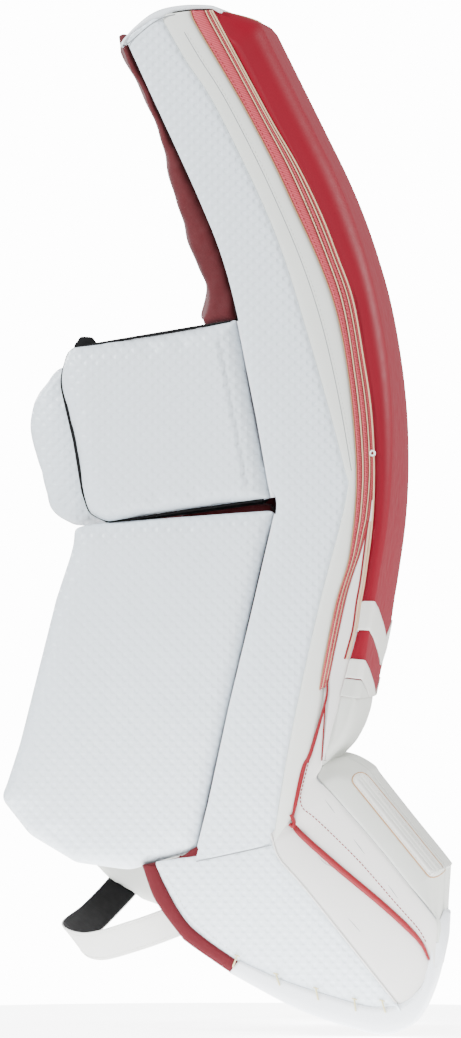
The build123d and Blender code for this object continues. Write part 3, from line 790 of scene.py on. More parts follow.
def make_face():
    """Red face skin, its chevrons, the edge cord of its top and the roll on its lateral side."""
    grid = make_face_grid()
    dress(shell("face_skin", grid, 2.0, (1, 0, 0)), "red",
          replaced=("face_cover", "face_foam"))

    # Chevrons drop towards the middle of the face. Heights are read where they start on the medial edge.
    normals = grid_normals(grid, (1, 0, 0))
    normals[:, 1] = normals[:, 3]
    normals[:, 2] = normals[:, 3]
    outer = grid[:, 1:-3] + normals[:, 1:-3] * 0.9
    heights = outer[:, 3, 2]
    columns = np.linspace(0, outer.shape[1] - 1.01, 44)
    rows = np.linspace(0, 1, 9)
    for name, nodes, start, height, material in CHEVRONS:
        band = np.zeros((len(rows), len(columns), 3))
        for j, column in enumerate(columns):
            y = grid_point(outer, STATIONS // 2, column)[1]
            across = np.clip((y - CHEVRON_START_Y) / (CHEVRON_MIDDLE_Y - CHEVRON_START_Y), 0, 2)
            drop = CHEVRON_DROP * (across if across < 1 else 2 - across)
            for i, share in enumerate(rows):
                z = max(start - drop - height * share, CHEVRON_FOOT)
                row = np.interp(-z, -heights, np.arange(len(heights)))
                if not height:
                    row += share * max(0.0, STATIONS - 1.01 - row)
                band[i, j] = grid_point(outer, row, column)
        dress(shell(name, band, 1.0, (1, 0, 0)), material, replaced=nodes)

    dress(tube("face_top_cord", smooth(grid[0:10, 12], 30), 0.9), "tan")

    bed = front_line(ROLL_INSET + 1.3 * ROLL_RADIUS, 90, hooked=False)
    columns = [at_y(bed, y) for y in (80, 96, 112, 126, 132)]
    dress(shell("outer_roll_bed", columns, 1.5, (1, 0, 0)), "red")
    roll_line = front_line(ROLL_INSET + ROLL_RADIUS, 90, hooked=False)
    swell = np.clip(np.minimum(np.arange(90), 89 - np.arange(90)) / 6, 0, 1)
    radius = ROLL_RADIUS * (0.35 + 0.65 * np.sin(swell * math.pi / 2))
    roll = tube("outer_roll", at_y(roll_line, ROLL_Y), radius, sides=28)
    dress(roll, "red", replaced=("lateral_roll",))


make_face()

# ---------------------------------------------------------------- medial skins
LONG = 400
DIMPLE_DEPTH = 0.22
SHARES_TOP = {  # where each strip starts and ends across the stack, at its top
    "tan": (0.0, 0.05), "one": (0.06, 0.62), "cord": (0.64, 0.72), "two": (0.74, 0.80),
    "cord_two": (0.82, 0.90), "three": (0.91, 0.99),
}
SHARES_KNEE = {  # the same from the knee down
    "tan": (0.0, 0.05), "one": (0.06, 0.30), "cord": (0.32, 0.42), "two": (0.44, 0.66),
    "cord_two": (0.68, 0.76), "three": (0.78, 0.98),
}
STRIP_LOOKS = {
    "tan": "tan", "one": "pink", "cord": "cream", "two": "pink", "cord_two": "cream", "three": "deep_pink",
}


def make_medial_side():
    """Slide panel, gusset and the wedge between the bindings and the face."""
    back = at_y(smooth(BACK_EDGE, LONG), MEDIAL)
    ridge = at_y(smooth(RIDGE, LONG), MEDIAL)
    wrap = back + np.array([-1.0, 9.0, 0.0])
    turn = back + np.array([-0.5, 3.0, 0.0])
    share = 0.5 - 0.5 * np.cos(np.linspace(0.12, math.pi, 40))
    rise = 1.8 * (1 - np.abs(2 * share - 1) ** 4) - 1.0 * np.exp(-((1 - share) / 0.03) ** 2)
    slide = back[:, None] * (1 - share)[None, :, None] + ridge[:, None] * share[None, :, None]
    slide[:, :, 1] -= rise[None, :]
    fade = np.clip(np.minimum(share, 1 - share) / 0.08, 0, 1)
    slide[:, :, 1] += DIMPLE_DEPTH * dimples(slide[:, :, 0], slide[:, :, 2]) * fade[None, :]
    grid = np.concatenate([wrap[:, None], turn[:, None], slide], axis=1)
    dress(shell("slide_panel", grid, 2.2, (0, -1, 0)), "slide",
          replaced=("medial_slide_panel",))

    front = smooth(STACK_BACK[:-1] + [(86, 304), (86, 284)] + SHIN_PIPING[2:], LONG)
    gusset = strip("gusset", ridge, at_y(front, MEDIAL), crown=1.6, tuck=1.4, across=15)
    dress(gusset, "gusset", replaced=("medial_gusset",))
    middle = 0.5 * ridge + 0.5 * at_y(front, MEDIAL)
    middle[:, 1] = MEDIAL - 1.7
    seam = tube("gusset_seam", middle[10:230], 0.28, sides=6)
    dress(seam, "seam")
    path = middle[10:230] + np.array([2.2, 0, 0])
    thread = stitches("gusset_thread", path, pitch=4.2, length=2.6, radius=0.22)
    dress(thread, "white_thread")

    left = smooth([(126, 450), (122, 425), (116.5, 405), (109.5, 385), (103, 361), (91, 310), (90, 290),
                   (89.5, 281), (86.3, 232)], 200)
    right = smooth([(129.8, 450), (129, 432), (123.5, 385), (120, 365), (116.5, 341), (110, 317), (106, 302),
                    (97, 268), (87.5, 232)], 200)
    wedge = strip("shin_wedge", at_y(left, MEDIAL + 0.5), at_y(right, MEDIAL + 0.5), crown=1.2, tuck=0.6)
    dress(wedge, "pale")


def make_stack():
    """Stacked binding strips and pipings between the gusset and the red face."""
    back = smooth(STACK_BACK, LONG)
    front = smooth(FACE_EDGE[:10] + STACK_FRONT_LOW, LONG)
    change = np.clip(np.linspace(-0.1, 1.9, LONG), 0, 1) ** 1.3
    for name, material in STRIP_LOOKS.items():
        lines = []
        for index in (0, 1):
            share = SHARES_TOP[name][index] * (1 - change) + SHARES_KNEE[name][index] * change
            lines.append(at_y(back + (front - back) * share[:, None], MEDIAL - 0.2))
        if material in ("cream", "tan"):
            width = np.linalg.norm(lines[1] - lines[0], axis=1)
            centre = (lines[0] + lines[1]) / 2
            centre[:, 1] = MEDIAL - 0.5
            piece = tube(f"stack_{name}", centre, np.clip(width / 2 * 0.85, 0.4, 1.0), sides=8)
        else:
            piece = strip(f"stack_{name}", lines[0], lines[1], crown=0.9, tuck=0.5, thickness=1.5, across=7)
        replaced = ("medial_binding",) if name == "one" else ()
        dress(piece, material, replaced=replaced)
    bed = (at_y(back, MEDIAL + 1.0), at_y(front, MEDIAL + 1.0))
    base = strip("stack_base", *bed, crown=0, tuck=0, thickness=1)
    dress(base, "deep_pink")

    # The red and cream line that stays beside the face until the upper chevron.
    lower = smooth(FACE_EDGE[10:15], 70)
    cord = tube("face_edge_cord", at_y(lower + np.array([-2.4, 0]), MEDIAL - 0.7), 1.1)
    dress(cord, "cream")
    thin = tube("face_edge_piping", at_y(lower + np.array([-4.6, 0]), MEDIAL - 0.8), 0.8)
    dress(thin, "red_piping")
    edge = tube("face_edge_tape", at_y(smooth(FACE_EDGE[:14], 240) + np.array([-0.8, 0]), MEDIAL - 0.7), 0.75)
    dress(edge, "cream")
    for name, rail, low, high in (("stitch_one", 0.18, 20, 360), ("stitch_two", 0.55, 120, 380)):
        line = at_y(back + (front - back) * rail, MEDIAL - 1.5)[low:high]
        dress(stitches(name, line, pitch=3.6, length=2.0, radius=0.25), "red_thread")

    piping = at_y(smooth(SHIN_PIPING, 60), MEDIAL - 1.2)
    taper = np.interp(np.linspace(0, 1, 60), [0, 0.2, 0.7, 0.9, 1], [0.8, 1.1, 1.9, 1.6, 1.0])
    dress(tube("shin_piping", piping, taper), "red_piping")
    knot = at_y(smooth([(60, 187), (62.5, 181), (61.5, 177), (58.5, 179)], 20), MEDIAL - 2.2)
    dress(tube("piping_knot", knot, 1.7), "red_piping")

    eyelet = []
    for turn in np.linspace(0, 2 * math.pi, 25):
        eyelet.append((128.6 + 2.0 * math.cos(turn), MEDIAL - 2.0, 489 + 2.0 * math.sin(turn)))
    dress(tube("edge_eyelet", eyelet, 0.75), "white")


make_medial_side()
make_stack()

# ---------------------------------------------------------------- boot, from the ankle down
BOOT_RIDGE = [
    (43, 171), (44, 166), (50, 150), (66.7, 130.7), (84.3, 109.4), (117, 68.5), (148.7, 28.9), (154, 22.5),
]
BOOT_PIPING = [
    (60, 187), (61, 180), (68, 170), (99.3, 142.4), (134.5, 113.3), (157.9, 92), (169.7, 78.4),
    (175.5, 65.7),
]
BOOT_SEAM = [
    (81, 219), (83.3, 214), (91.1, 206.4), (108.8, 187), (134.2, 157.8), (157.5, 128.8), (181, 99.7),
]
BOOT_CREST = [
    (86.3, 232.6), (100.9, 233.5), (117.5, 224.8), (124.3, 216), (153, 180), (182, 144.3),
    (183.1, 138.5), (181.1, 105.5),
]
V_LINE = [(89.8, 283), (86.3, 232)]
CREASES = {
    "crease_one": [(82, 152), (88, 146), (94, 143)], "crease_two": [(108, 100), (118, 89)],
    "crease_three": [(88, 199), (96, 188)], "crease_four": [(112, 166), (121, 154)],
    "crease_five": [(141, 128), (149, 117)],
}
PIPING_Y = -133.5
SEAM_Y = -130.0
CREST_Y = -70.0
BOOT_COUNT = 120
BADGE_HALF = 5.6
TOE_TUCK = (180, 58)  # the panels run on under the sole binding to here


def make_boot_uppers():
    """Medial panels of the boot and the front over the instep, as one bevelled surface in pieces."""
    ridge = at_y(smooth(BOOT_RIDGE, BOOT_COUNT), MEDIAL)
    piping = at_y(smooth(BOOT_PIPING + [TOE_TUCK], BOOT_COUNT), PIPING_Y)
    lower = strip("boot_lower_skin", ridge, piping, crown=1.4, tuck=1.2, across=17)
    dress(lower, "pale", replaced=("boot_lower_panel",))

    rise = SHIN_PIPING[1:5]
    left = smooth(rise + BOOT_PIPING[1:] + [TOE_TUCK], 2 * BOOT_COUNT)
    left_y = np.interp(-left[:, 1], [-300, -184, -170, 0], [MEDIAL - 0.4, MEDIAL, PIPING_Y, PIPING_Y])
    right = smooth(V_LINE + BOOT_SEAM + [(181, 80)], 2 * BOOT_COUNT)
    right_y = np.interp(-right[:, 1], [-300, -232, -190, 0], [MEDIAL - 0.4, -136, SEAM_Y, SEAM_Y])
    sides = (at_y(left, left_y), at_y(right, right_y))
    middle = strip("boot_middle_skin", *sides, crown=1.4, tuck=1.0, across=17)
    dress(middle, "pale", replaced=("boot_middle_panel",))

    seam = at_y(smooth(BOOT_SEAM + [(181, 80)], BOOT_COUNT), SEAM_Y)
    crest = at_y(smooth(BOOT_CREST + [(181, 84)], BOOT_COUNT), CREST_Y)
    columns = []
    for share, y in ((0, -129), (0.02, -130.4), (0.1, -130), (0.3, -128.5), (0.5, -125.5), (0.68, -121),
                     (0.82, -114), (0.92, -104), (0.98, -88), (1.0, CREST_Y)):
        line = seam + (crest - seam) * share
        line[:, 1] = y
        columns.append(line)
    instep = shell("instep_skin", columns, 2.2, (0, -1, 0))
    dress(instep, "grey", replaced=("boot_instep_panel",))

    over = smooth(BOOT_CREST + [(182, 84), (177, 58)], BOOT_COUNT)
    centre = np.array([90.0, 110.0])
    columns = []
    for y in (CREST_Y - 4, CREST_Y, -50, -30, -10, 10, 30, 50, 70, 90, 106, 118, 127, 133, 136.5, 138):
        line = over - np.array([1, 0]) * fall(y, CREST_Y)
        edge = max(0.0, y - 118) / 20
        line = line + (centre - line) * 0.16 * (1 - math.sqrt(max(0.0, 1 - edge ** 2)))
        columns.append(at_y(line, y))
    front = shell("boot_front_skin", columns, 2.2, (1, 0, 0.3))
    dress(front, "grey", replaced=("boot_front_cover", "boot_instep_foam"))

    fat = smooth(BOOT_PIPING[1:], 80)
    taper = np.interp(np.linspace(0, 1, 80), [0, 0.04, 0.3, 0.8, 1], [1.4, 2.6, 3.0, 2.6, 1.0])
    dress(tube("boot_fat_piping", at_y(fat, PIPING_Y - 1.4), taper, sides=12), "red_piping",
          replaced=("boot_piping",))
    skins = surface_of(lower, middle, instep)
    grey = laid_on(skins, smooth(BOOT_SEAM, 60), 0.1)
    dress(tube("instep_seam", grey, 0.4, sides=6), "seam")
    beside = [(83, 258.7), (75.5, 233.5), (70.5, 214), (67.7, 200.5), (70, 191.8), (77, 186), (90.5, 173.4),
              (118, 146.2), (147, 113.3), (166, 92), (173, 80.3)]
    line = laid_on(skins, smooth(beside, 160), 0.25)
    dress(stitches("boot_red_stitch", line, pitch=3.4, length=2.4, radius=0.42), "red_thread")
    upright = laid_on(skins, smooth(V_LINE, 40) - np.array([0.8, 0]), 0.6)
    dress(tube("shin_red_line", upright, 0.6, sides=6), "red_thread")
    swelling = np.interp(np.linspace(0, 1, 14), [0, 0.5, 1], [0.12, 0.32, 0.12])
    for name, points in CREASES.items():
        crease = laid_on(skins, smooth(points, 14), 0.0)
        dress(tube(name, crease, swelling, sides=6), "seam")
    ridge_line = at_y(smooth(BOOT_RIDGE, 80), MEDIAL - 0.5)
    dress(tube("ridge_cord", ridge_line, 0.8, sides=6), "pale")
    make_badge(surface_of(instep))


def make_badge(tree):
    """Blank vinyl badge with a stitched tan outline on the instep."""
    start = np.array([115.0, 216.0])
    end = np.array([177.5, 139.5])
    run = unit(end - start)
    side = np.array([-run[1], run[0]])
    outline = []
    for middle, first in ((end, -math.pi / 2), (start, math.pi / 2)):
        for turn in np.linspace(first, first + math.pi, 9):
            outline.append(middle + BADGE_HALF * (run * math.cos(turn) + side * math.sin(turn)))
    outline = resample(outline + outline[:1], 90)
    centre = resample([start, end], len(outline) // 2)
    both = np.vstack([centre, centre[::-1]])
    rings = []
    near = np.argmin(np.linalg.norm(outline[:, None] - both[None], axis=2), axis=1)
    for share, lift in ((1.0, 0.1), (0.97, 0.4), (0.85, 0.5), (0.5, 0.55), (0.0, 0.55)):
        line = both[near] + (outline - both[near]) * share
        rings.append(laid_on(tree, line, lift))
    badge = shell("instep_badge", rings, 0.8, (0, -1, 0))
    dress(badge, "badge")
    border = laid_on(tree, outline, 0.3)
    dress(tube("badge_border", border, 0.55, sides=6), "tan")
    inner = laid_on(tree, outline + (both[near] - outline) * 0.3, 0.6)
    stitching = stitches("badge_stitch", inner, pitch=3.2, length=2.0, radius=0.28)
    dress(stitching, "white_thread")


make_boot_uppers()

LATERAL_SETBACK = 34.0
TIES = ((13, 64, 20), (49, 49, -18), (82, 37, -12), (114, 28, -6), (138, 27, -16))  # X, Z and turn
BOOT_SLIDE_TOP = [(-54, 147), (-17, 153), (12, 160), (36, 167)]
BOOT_SLIDE_BOTTOM = [
    (-54, 143), (-46, 125), (-30, 99), (-12, 81), (14, 62), (52, 45), (92, 33), (128, 25), (149, 28),
]
HEEL_OUTER = [(-66, 144), (-55, 115), (-35, 87), (-26, 78), (9, 54)]
HEEL_INNER = [(-54, 144), (-46, 126), (-30.5, 99.5), (-12, 82.5), (15, 64)]
SOLE_OUTER = [
    (8, 54), (61, 26), (100, 11.5), (137, 3), (157, 9), (170, 23), (180, 46), (186, 70), (187, 86),
    (186.5, 103),
]
SOLE_INNER = [
    (16, 64.8), (52, 49), (92, 36), (127, 27), (152, 29.5), (168, 42), (173, 55), (175.5, 67), (179, 84),
    (181.5, 95), (181.5, 106),
]
SOLE_OUTER_Y = [-139, -139, -139, -139, -138.5, -137, -134, -118, -95, -72]
SOLE_INNER_Y = [-139.5, -139.5, -139.5, -139.5, -139, -138, -136, -134, -131, -118, -72]
BOOT_WALL = [
    (60, 190), (42, 163), (-22, 148), (-53, 136), (-50, 124), (-33, 99), (11, 61), (88, 19), (113, 6),
    (129, 7), (151, 22), (163, 45), (168, 80), (166, 112), (160, 136), (114, 206), (100, 219), (74, 228),
]


def mirrored(grid):
    """The same grid on the lateral side, lying further back as the front of the boot does."""
    other = grid.copy()
    other[:, :, 1] *= -1
    ahead = np.clip((other[:, :, 0] - 60) / 100, 0, 1)
    other[:, :, 0] -= ahead * LATERAL_SETBACK
    return other


def moved_to(line, y):
    """Line in space with all its points at a new Y, or at one Y for each."""
    moved = line.copy()
    moved[:, 1] = y
    return moved


def wrap_binding(outer, inner):
    """Grid of a binding folded over the edge of a boot wall, from its outer to its inner face."""
    columns = []
    for share, depth in ((0.0, 1.2), (0.03, -0.5), (0.25, -1.2), (0.6, -1.3), (0.88, -0.8), (1.0, 1.5)):
        columns.append(inner + (outer - inner) * share + np.array([0, depth, 0]))
    columns.append(outer + np.array([0, 8, 0]))
    columns.append(moved_to(outer, np.maximum(outer[:, 1] + 10, -106)))
    columns.append(moved_to(outer + (inner - outer) * 0.15, np.maximum(outer[:, 1] + 12, -103)))
    columns.append(moved_to(outer + (inner - outer) * 0.9, np.maximum(outer[:, 1] + 13, -102.6)))
    return np.stack(columns, axis=1)


def make_boot_walls():
    """Slide panel, walls, bindings, ties and the lateral skin of the boot."""
    top = at_y(smooth(BOOT_SLIDE_TOP + BOOT_RIDGE[1:], 200), MEDIAL)
    bottom = at_y(smooth(BOOT_SLIDE_BOTTOM, 200), MEDIAL)
    slide = strip("boot_slide_skin", bottom, top, crown=1.2, tuck=1.0, across=46, dimple=DIMPLE_DEPTH)
    dress(slide, "slide", replaced=("boot_slide_panel",))
    ankle = at_y(smooth([(-20, 147.2), (12, 154), (43.5, 161.2)], 60), MEDIAL - 1.2)
    dress(tube("ankle_seam", ankle, 0.45, sides=6), "seam")

    medial = prism("boot_medial_lining", rounded(BOOT_WALL, 10), -118, -104, 4)
    dress(medial, "white", replaced=("boot_medial_wall",))
    set_back = [(x - LATERAL_SETBACK * min(max((x - 60) / 100, 0), 1), z) for x, z in BOOT_WALL]
    lateral = prism("boot_lateral_lining", rounded(set_back, 10), 104, 124, 4)
    dress(lateral, "white", replaced=("boot_lateral_wall",))
    skin = prism("boot_lateral_skin", rounded(grown(set_back, 4), 12), 122, 138, 6, segments=6)
    dress(skin, "white", replaced=("boot_lateral_panel",))

    outer = smooth(at_y(SOLE_OUTER, SOLE_OUTER_Y), 160)
    inner = smooth(at_y(SOLE_INNER, SOLE_INNER_Y), 160)
    grid = wrap_binding(outer, inner)
    heel = wrap_binding(at_y(smooth(HEEL_OUTER, 70), -139), at_y(smooth(HEEL_INNER, 70), -139))
    for place, shape, material, slot in (("sole", grid, "white", "white_smooth_skin"),
                                         ("heel", heel, "red_tape", "red_webbing")):
        medial = shell(f"{place}_binding_medial", shape, 1.4, (0, -1, 0))
        dress(medial, material, replaced=(f"{place}_bindings",))
        lateral = shell(f"{place}_binding_lateral", mirrored(shape), 1.4, (0, 1, 0))
        dress(lateral, material)

    rise = [(-66, 144), (-50, 147.5), (-38, 150), (-30, 153), (-25, 157), (-17, 161)]
    high = at_y(smooth(rise, 40), MEDIAL + 1.5)
    low = at_y(smooth([(-54, 141), (-42, 143.5), (-32, 146), (-17, 149)], 40), MEDIAL + 1)
    end = strip("heel_binding_end", low, high, crown=0.6, tuck=0.4, thickness=1.4, across=7)
    dress(end, "red_tape")

    edge = at_y(smooth(SOLE_INNER[:7], 110) + np.array([0.5, -2.2]), MEDIAL - 2.2)
    rows = stitches("sole_stitch", edge, pitch=3.6, length=2.2, radius=0.2)
    dress(rows, "white_thread")
    inside = at_y(smooth([(-50, 146), (-41, 128), (-26, 102), (-8, 85.5), (15, 68)], 60), MEDIAL - 1.1)
    rows = stitches("heel_stitch", inside, pitch=3.4, length=2.2, radius=0.2)
    dress(rows, "white_thread")

    ties = []
    for side in (-1, 1):
        for index, (x, z, turn) in enumerate(TIES):
            angle = math.radians(turn)
            reach = np.array([math.sin(angle), math.cos(angle)]) * 5
            y = side * 141.6
            if side > 0:
                x -= LATERAL_SETBACK * min(max((x - 60) / 100, 0), 1)
            knots = ((-1, side * 139.5), (-0.9, y), (0, y + side * 0.4), (0.9, y), (1, side * 139.5))
            path = [(x + reach[0] * along, at, z + reach[1] * along) for along, at in knots]
            ties.append(tube(f"tie_{side}_{index}", smooth(path, 16), 0.7, sides=6))
            loop = [(x + reach[0] - 2, y, z + reach[1] + 0.6), (x + reach[0], y + side * 0.5, z + reach[1]),
                    (x + reach[0] + 2.2, y, z + reach[1] - 0.6)]
            ties.append(tube(f"loop_{side}_{index}", smooth(loop, 10), 0.6, sides=6))
    dress(join("sole_cord_ties", ties), "tie_cord", replaced=("sole_ties",))

    roof = smooth([(176, 55), (150, 59), (143.5, 112), (101, 167), (66, 199)], 90)
    columns = []
    for y in np.linspace(-104, 104, 17):
        ahead = np.clip((roof[:, 0] - 60) / 110, 0, 1) * fall(y, CREST_Y)
        columns.append(at_y(roof - np.stack([ahead, 0 * ahead], axis=1), y))
    channel = shell("channel_lining", columns, 1.8, (-1, 0, -1))
    dress(channel, "black", replaced=("boot_channel_lining",))


make_boot_walls()

# ---------------------------------------------------------------- ankle roll, cap and hidden sides
ANKLE_SECTION = [
    (96, 306), (106, 304), (114, 297), (115.5, 284), (113, 272), (108.5, 260), (101, 247), (90, 236),
    (84, 226), (74, 228), (76, 262), (84, 296),
]


def make_ankle_roll():
    """Padded roll across the front of the ankle."""
    def bow(points):
        """Lies back towards the lateral side, as the face does."""
        points = points.copy()
        points[:, 0] -= FACE_FALL * np.maximum(0, points[:, 1] - FACE_FLAT_Y) ** 2
        return points
    section = rounded(ANKLE_SECTION, 3)
    roll = cushion("ankle_roll_pad", section, MEDIAL - 0.4, 128, 4, crown=0.3, swell=2.0, shape=bow)
    dress(roll, "grey", replaced=("ankle_roll",))


CAP_SHOULDER = 32.0
CAP_LIP = ([0, 15, 28, 34, 59], [0.4, 0.8, 1.1, 0.6, 0.35])


def make_top_cap():
    """Cap over the top edge, lower towards the lateral side."""
    section = smooth([(-82, 834), (-80, 840), (-73, 848), (-60, 858.5), (-47, 864), (-28, 866.5), (-9, 866),
                      (-3, 864), (1, 861.5)], 60)
    tail = np.clip((np.arange(60) - 47) / 12, 0, 1)
    columns = []
    for y, inset in ((-133, 9), (-138, 8.5), (-140, 6), (-139.4, 2), (-134, 0.3), (-100, 0), (-60, 0),
                     (-20, 0), (20, 0), (60, 0), (90, 0.5), (112, 2.5), (126, 5), (134, 9),
                     (137.5, 14), (138, 20)):
        line = section.copy()
        lip = np.interp(np.arange(60), *CAP_LIP) if y < 0 else np.linspace(0.3, 1.0, 60)
        line[:, 1] -= inset * lip + 1.5
        line[:, 1] -= tail * np.clip((y - 70) / 28, 0, 1) * CAP_SHOULDER
        line[:, 0] -= max(0.0, y - 84) / 54 * 20 * np.linspace(0, 1, 60)
        columns.append(at_y(line, y))
    cap = shell("top_cap_pad", columns, 2.5, (0, 0, 1))
    dress(cap, "white", replaced=("top_cap",))
    seam = at_y(smooth([(-79, 831), (-58, 848.5), (-46, 854.5), (-38, 856.5)], 30), MEDIAL - 1.7)
    dress(tube("cap_seam", seam, 0.45, sides=6), "seam")
    high = section - np.array([6, 6]) * np.linspace(0.5, 1, 60)[:, None]
    high[:, 1] -= tail * CAP_SHOULDER * 0.8
    low = resample([(-78, 828), (-25, 800)], 60)
    shoulder = strip("cap_shoulder", at_y(high, 133.5), at_y(low, 136.0), crown=0.5, tuck=0.3, thickness=2)
    dress(shoulder, "white")


def make_hinge_welts():
    """White welts along the sewn hinges, between the pad and its wings."""
    for name, z_high, z_low, y in (("knee_hinge_welt", 600, 452, -135.2),
                                   ("calf_hinge_welt", 438, 158, -135.2),
                                   ("outer_knee_hinge_welt", 598, 458, 134.5),
                                   ("outer_calf_hinge_welt", 433, 164, 133.5)):
        line = [(back_line(z) + 0.2, y, z) for z in np.linspace(z_high, z_low, 60)]
        dress(tube(name, line, 2.0, sides=10), "white")


def make_hidden_sides():
    """Back lining over the core foam, and the skin of the lateral side."""
    back = smooth(BACK_EDGE + [(-6, 153), (44, 168), (64, 197)], 180)
    columns = []
    for y in np.linspace(-134, 134, 23):
        columns.append(at_y(back + np.array([0.5 - math.cos(y / 134 * math.pi / 2), 0]), y))
    lining = shell("back_lining", columns, 3.0, (-1, 0, 0))
    dress(lining, "back", replaced=("thigh_core", "knee_core", "shin_core"))

    upper = front_line(ROLL_INSET + 2 * ROLL_RADIUS - 6, 200, hooked=False)
    front = resample(list(upper) + [(68, 262), (73, 240), (62, 197), (45, 168), (20, 160)], 200)
    columns = []
    back = smooth(BACK_EDGE, 200)
    for share, y in ((-0.02, 128), (0.0, 134), (0.03, 137), (0.1, 138.6), (0.3, 139.4), (0.5, 139.6),
                     (0.7, 139.2), (0.9, 138.2), (0.97, 136), (1.0, 130)):
        columns.append(at_y(back + (front - back) * share, y))
    skin = shell("lateral_skin", columns, 2.5, (0, 1, 0))
    dress(skin, "white", replaced=("lateral_panel", "lateral_edge_foam"))


# ---------------------------------------------------------------- liners behind the leg side
def wrinkled(depth, seed):
    """Shape change that lays slack wrinkles into a liner's rear face."""
    def shape(points):
        """Sum of a few fixed waves in Y and Z."""
        points = points.copy()
        y = points[:, 1]
        z = points[:, 2]
        waves = (
            np.sin(z / 9.0 + 2.2 * np.sin(y / 26 + seed)) + 0.7 * np.sin(z / 4.7 - y / 14 + seed)
            + 0.5 * np.sin(y / 7.5 + z / 21 + 2 * seed)
        )
        points[:, 0] += depth * waves
        return points
    return shape


def back_line(z):
    """X of the pad's back edge at a height."""
    heights = [point[1] for point in BACK_EDGE]
    return float(np.interp(-z, -np.array(heights), [point[0] for point in BACK_EDGE]))


def liner_line(z):
    """X of the rear faces of the knee cradle and the calf liner at a height."""
    x_top, x_low, z_top, z_low = (-15, 19, 595, 436) if z > 438 else (22, -40, 435, 158)
    return x_low + (x_top - x_low) * (z - z_low) / (z_top - z_low)


def make_liners():
    """Soft red liners: thigh, knee cradle and calf."""
    slack = wrinkled(0.6, 0.4)
    pad = cushion("thigh_liner_pad", rounded(THIGH_LINER, 4), -116, 116, 5, crown=0, swell=2.5, shape=slack)
    dress(pad, "liner", replaced=("thigh_liner",))
    slack = wrinkled(0.5, 1.3)
    cradle = [
        (back_line(602) - 3, 602), (back_line(437) - 3, 437), (liner_line(440), 437), (liner_line(594), 600),
    ]
    pad = cushion("knee_cradle_pad", rounded(cradle, 6), -90, 102, 6, crown=0, swell=3, shape=slack)
    dress(pad, "liner", replaced=("knee_cradle",))
    calf = [(back_line(437) - 3, 442), (back_line(300) - 3, 300), (back_line(158) - 3, 158),
            (liner_line(160), 160), (liner_line(300), 300), (liner_line(436), 442)]
    slack = wrinkled(0.5, 2.1)
    pad = cushion("calf_liner_pad", rounded(calf, 6), -102, 102, 6, crown=0, swell=3, shape=slack)
    dress(pad, "liner", replaced=("calf_liner",))
    flap = [(40, 447), (18, 447), (-38, 441), (-38, 428), (18, 431), (40, 433)]
    slack = wrinkled(0.3, 0.9)
    pad = cushion("calf_liner_flap", rounded(flap, 3), -101, -66, 4, crown=0, swell=1.5, shape=slack)
    dress(pad, "liner")


THIGH_LINER = [
    (-79, 826), (-56, 783), (-36, 740), (-17, 698), (-1, 655), (12, 600), (-22, 596), (-17, 617),
    (-17, 633), (-23, 646), (-32, 672), (-45, 718), (-55, 761), (-66, 783), (-80, 808), (-92, 834),
    (-90, 842), (-81, 842),
]
make_ankle_roll()
make_top_cap()
make_hidden_sides()
make_hinge_welts()
make_liners()

# ---------------------------------------------------------------- knee block, knee stack and wings


def hinge_edge(z_high, z_low, gap=1.3):
    """Hinge edge of a wing, just behind the pad's back edge."""
    return [(back_line(z) - gap, z) for z in (z_high, z_low)]


def edge_cord(name, line, y, radius, material, body):
    """Piping round the rim of a wing."""
    dress(tube(name, at_y(resample(line, len(line)), y), radius, sides=8), material, body)


def behind_hinge(hinge):
    """Unit vector that points backwards from a hinge edge, in side view."""
    run = unit(np.subtract(hinge[1], hinge[0]))
    return np.array([run[1], -run[0]])


def hinge_depth(points, hinge):
    """Distance of side-view points behind a hinge edge."""
    return (points - np.array(hinge[0])) @ behind_hinge(hinge)


def half_round(hinge, middle, radius):
    """Shape change that turns the hinge edge of a wing into a half cylinder about its pivot."""
    behind = behind_hinge(hinge)

    def shape(points):
        """Draws the points outside the cylinder in towards its axis."""
        points = points.copy()
        depth = hinge_depth(points[:, [0, 2]], hinge)
        from_axis = np.stack([depth - radius, points[:, 1] - middle], axis=1)
        length = np.linalg.norm(from_axis, axis=1)
        outside = (depth < radius) & (length > radius)
        share = np.where(outside, radius / np.maximum(length, 1e-6), 1.0)
        moved = from_axis * share[:, None]
        points[:, [0, 2]] += (moved[:, 0] - from_axis[:, 0])[:, None] * behind
        points[:, 1] = middle + moved[:, 1]
        return points
    return shape


def shift_behind(point, hinge, amount):
    """Side-view point, moved back to at least this distance behind the hinge edge."""
    short = max(0.0, amount - hinge_depth(np.array([point]), hinge)[0])
    return np.asarray(point, float) + short * behind_hinge(hinge)


def away_from_hinge(outline, hinge, reach):
    """Open part of a closed outline that lies further than reach behind the hinge edge."""
    keep = hinge_depth(outline, hinge) > reach
    first = np.flatnonzero(keep & ~np.roll(keep, 1))[0]
    return np.roll(outline, -first, axis=0)[np.roll(keep, -first)]


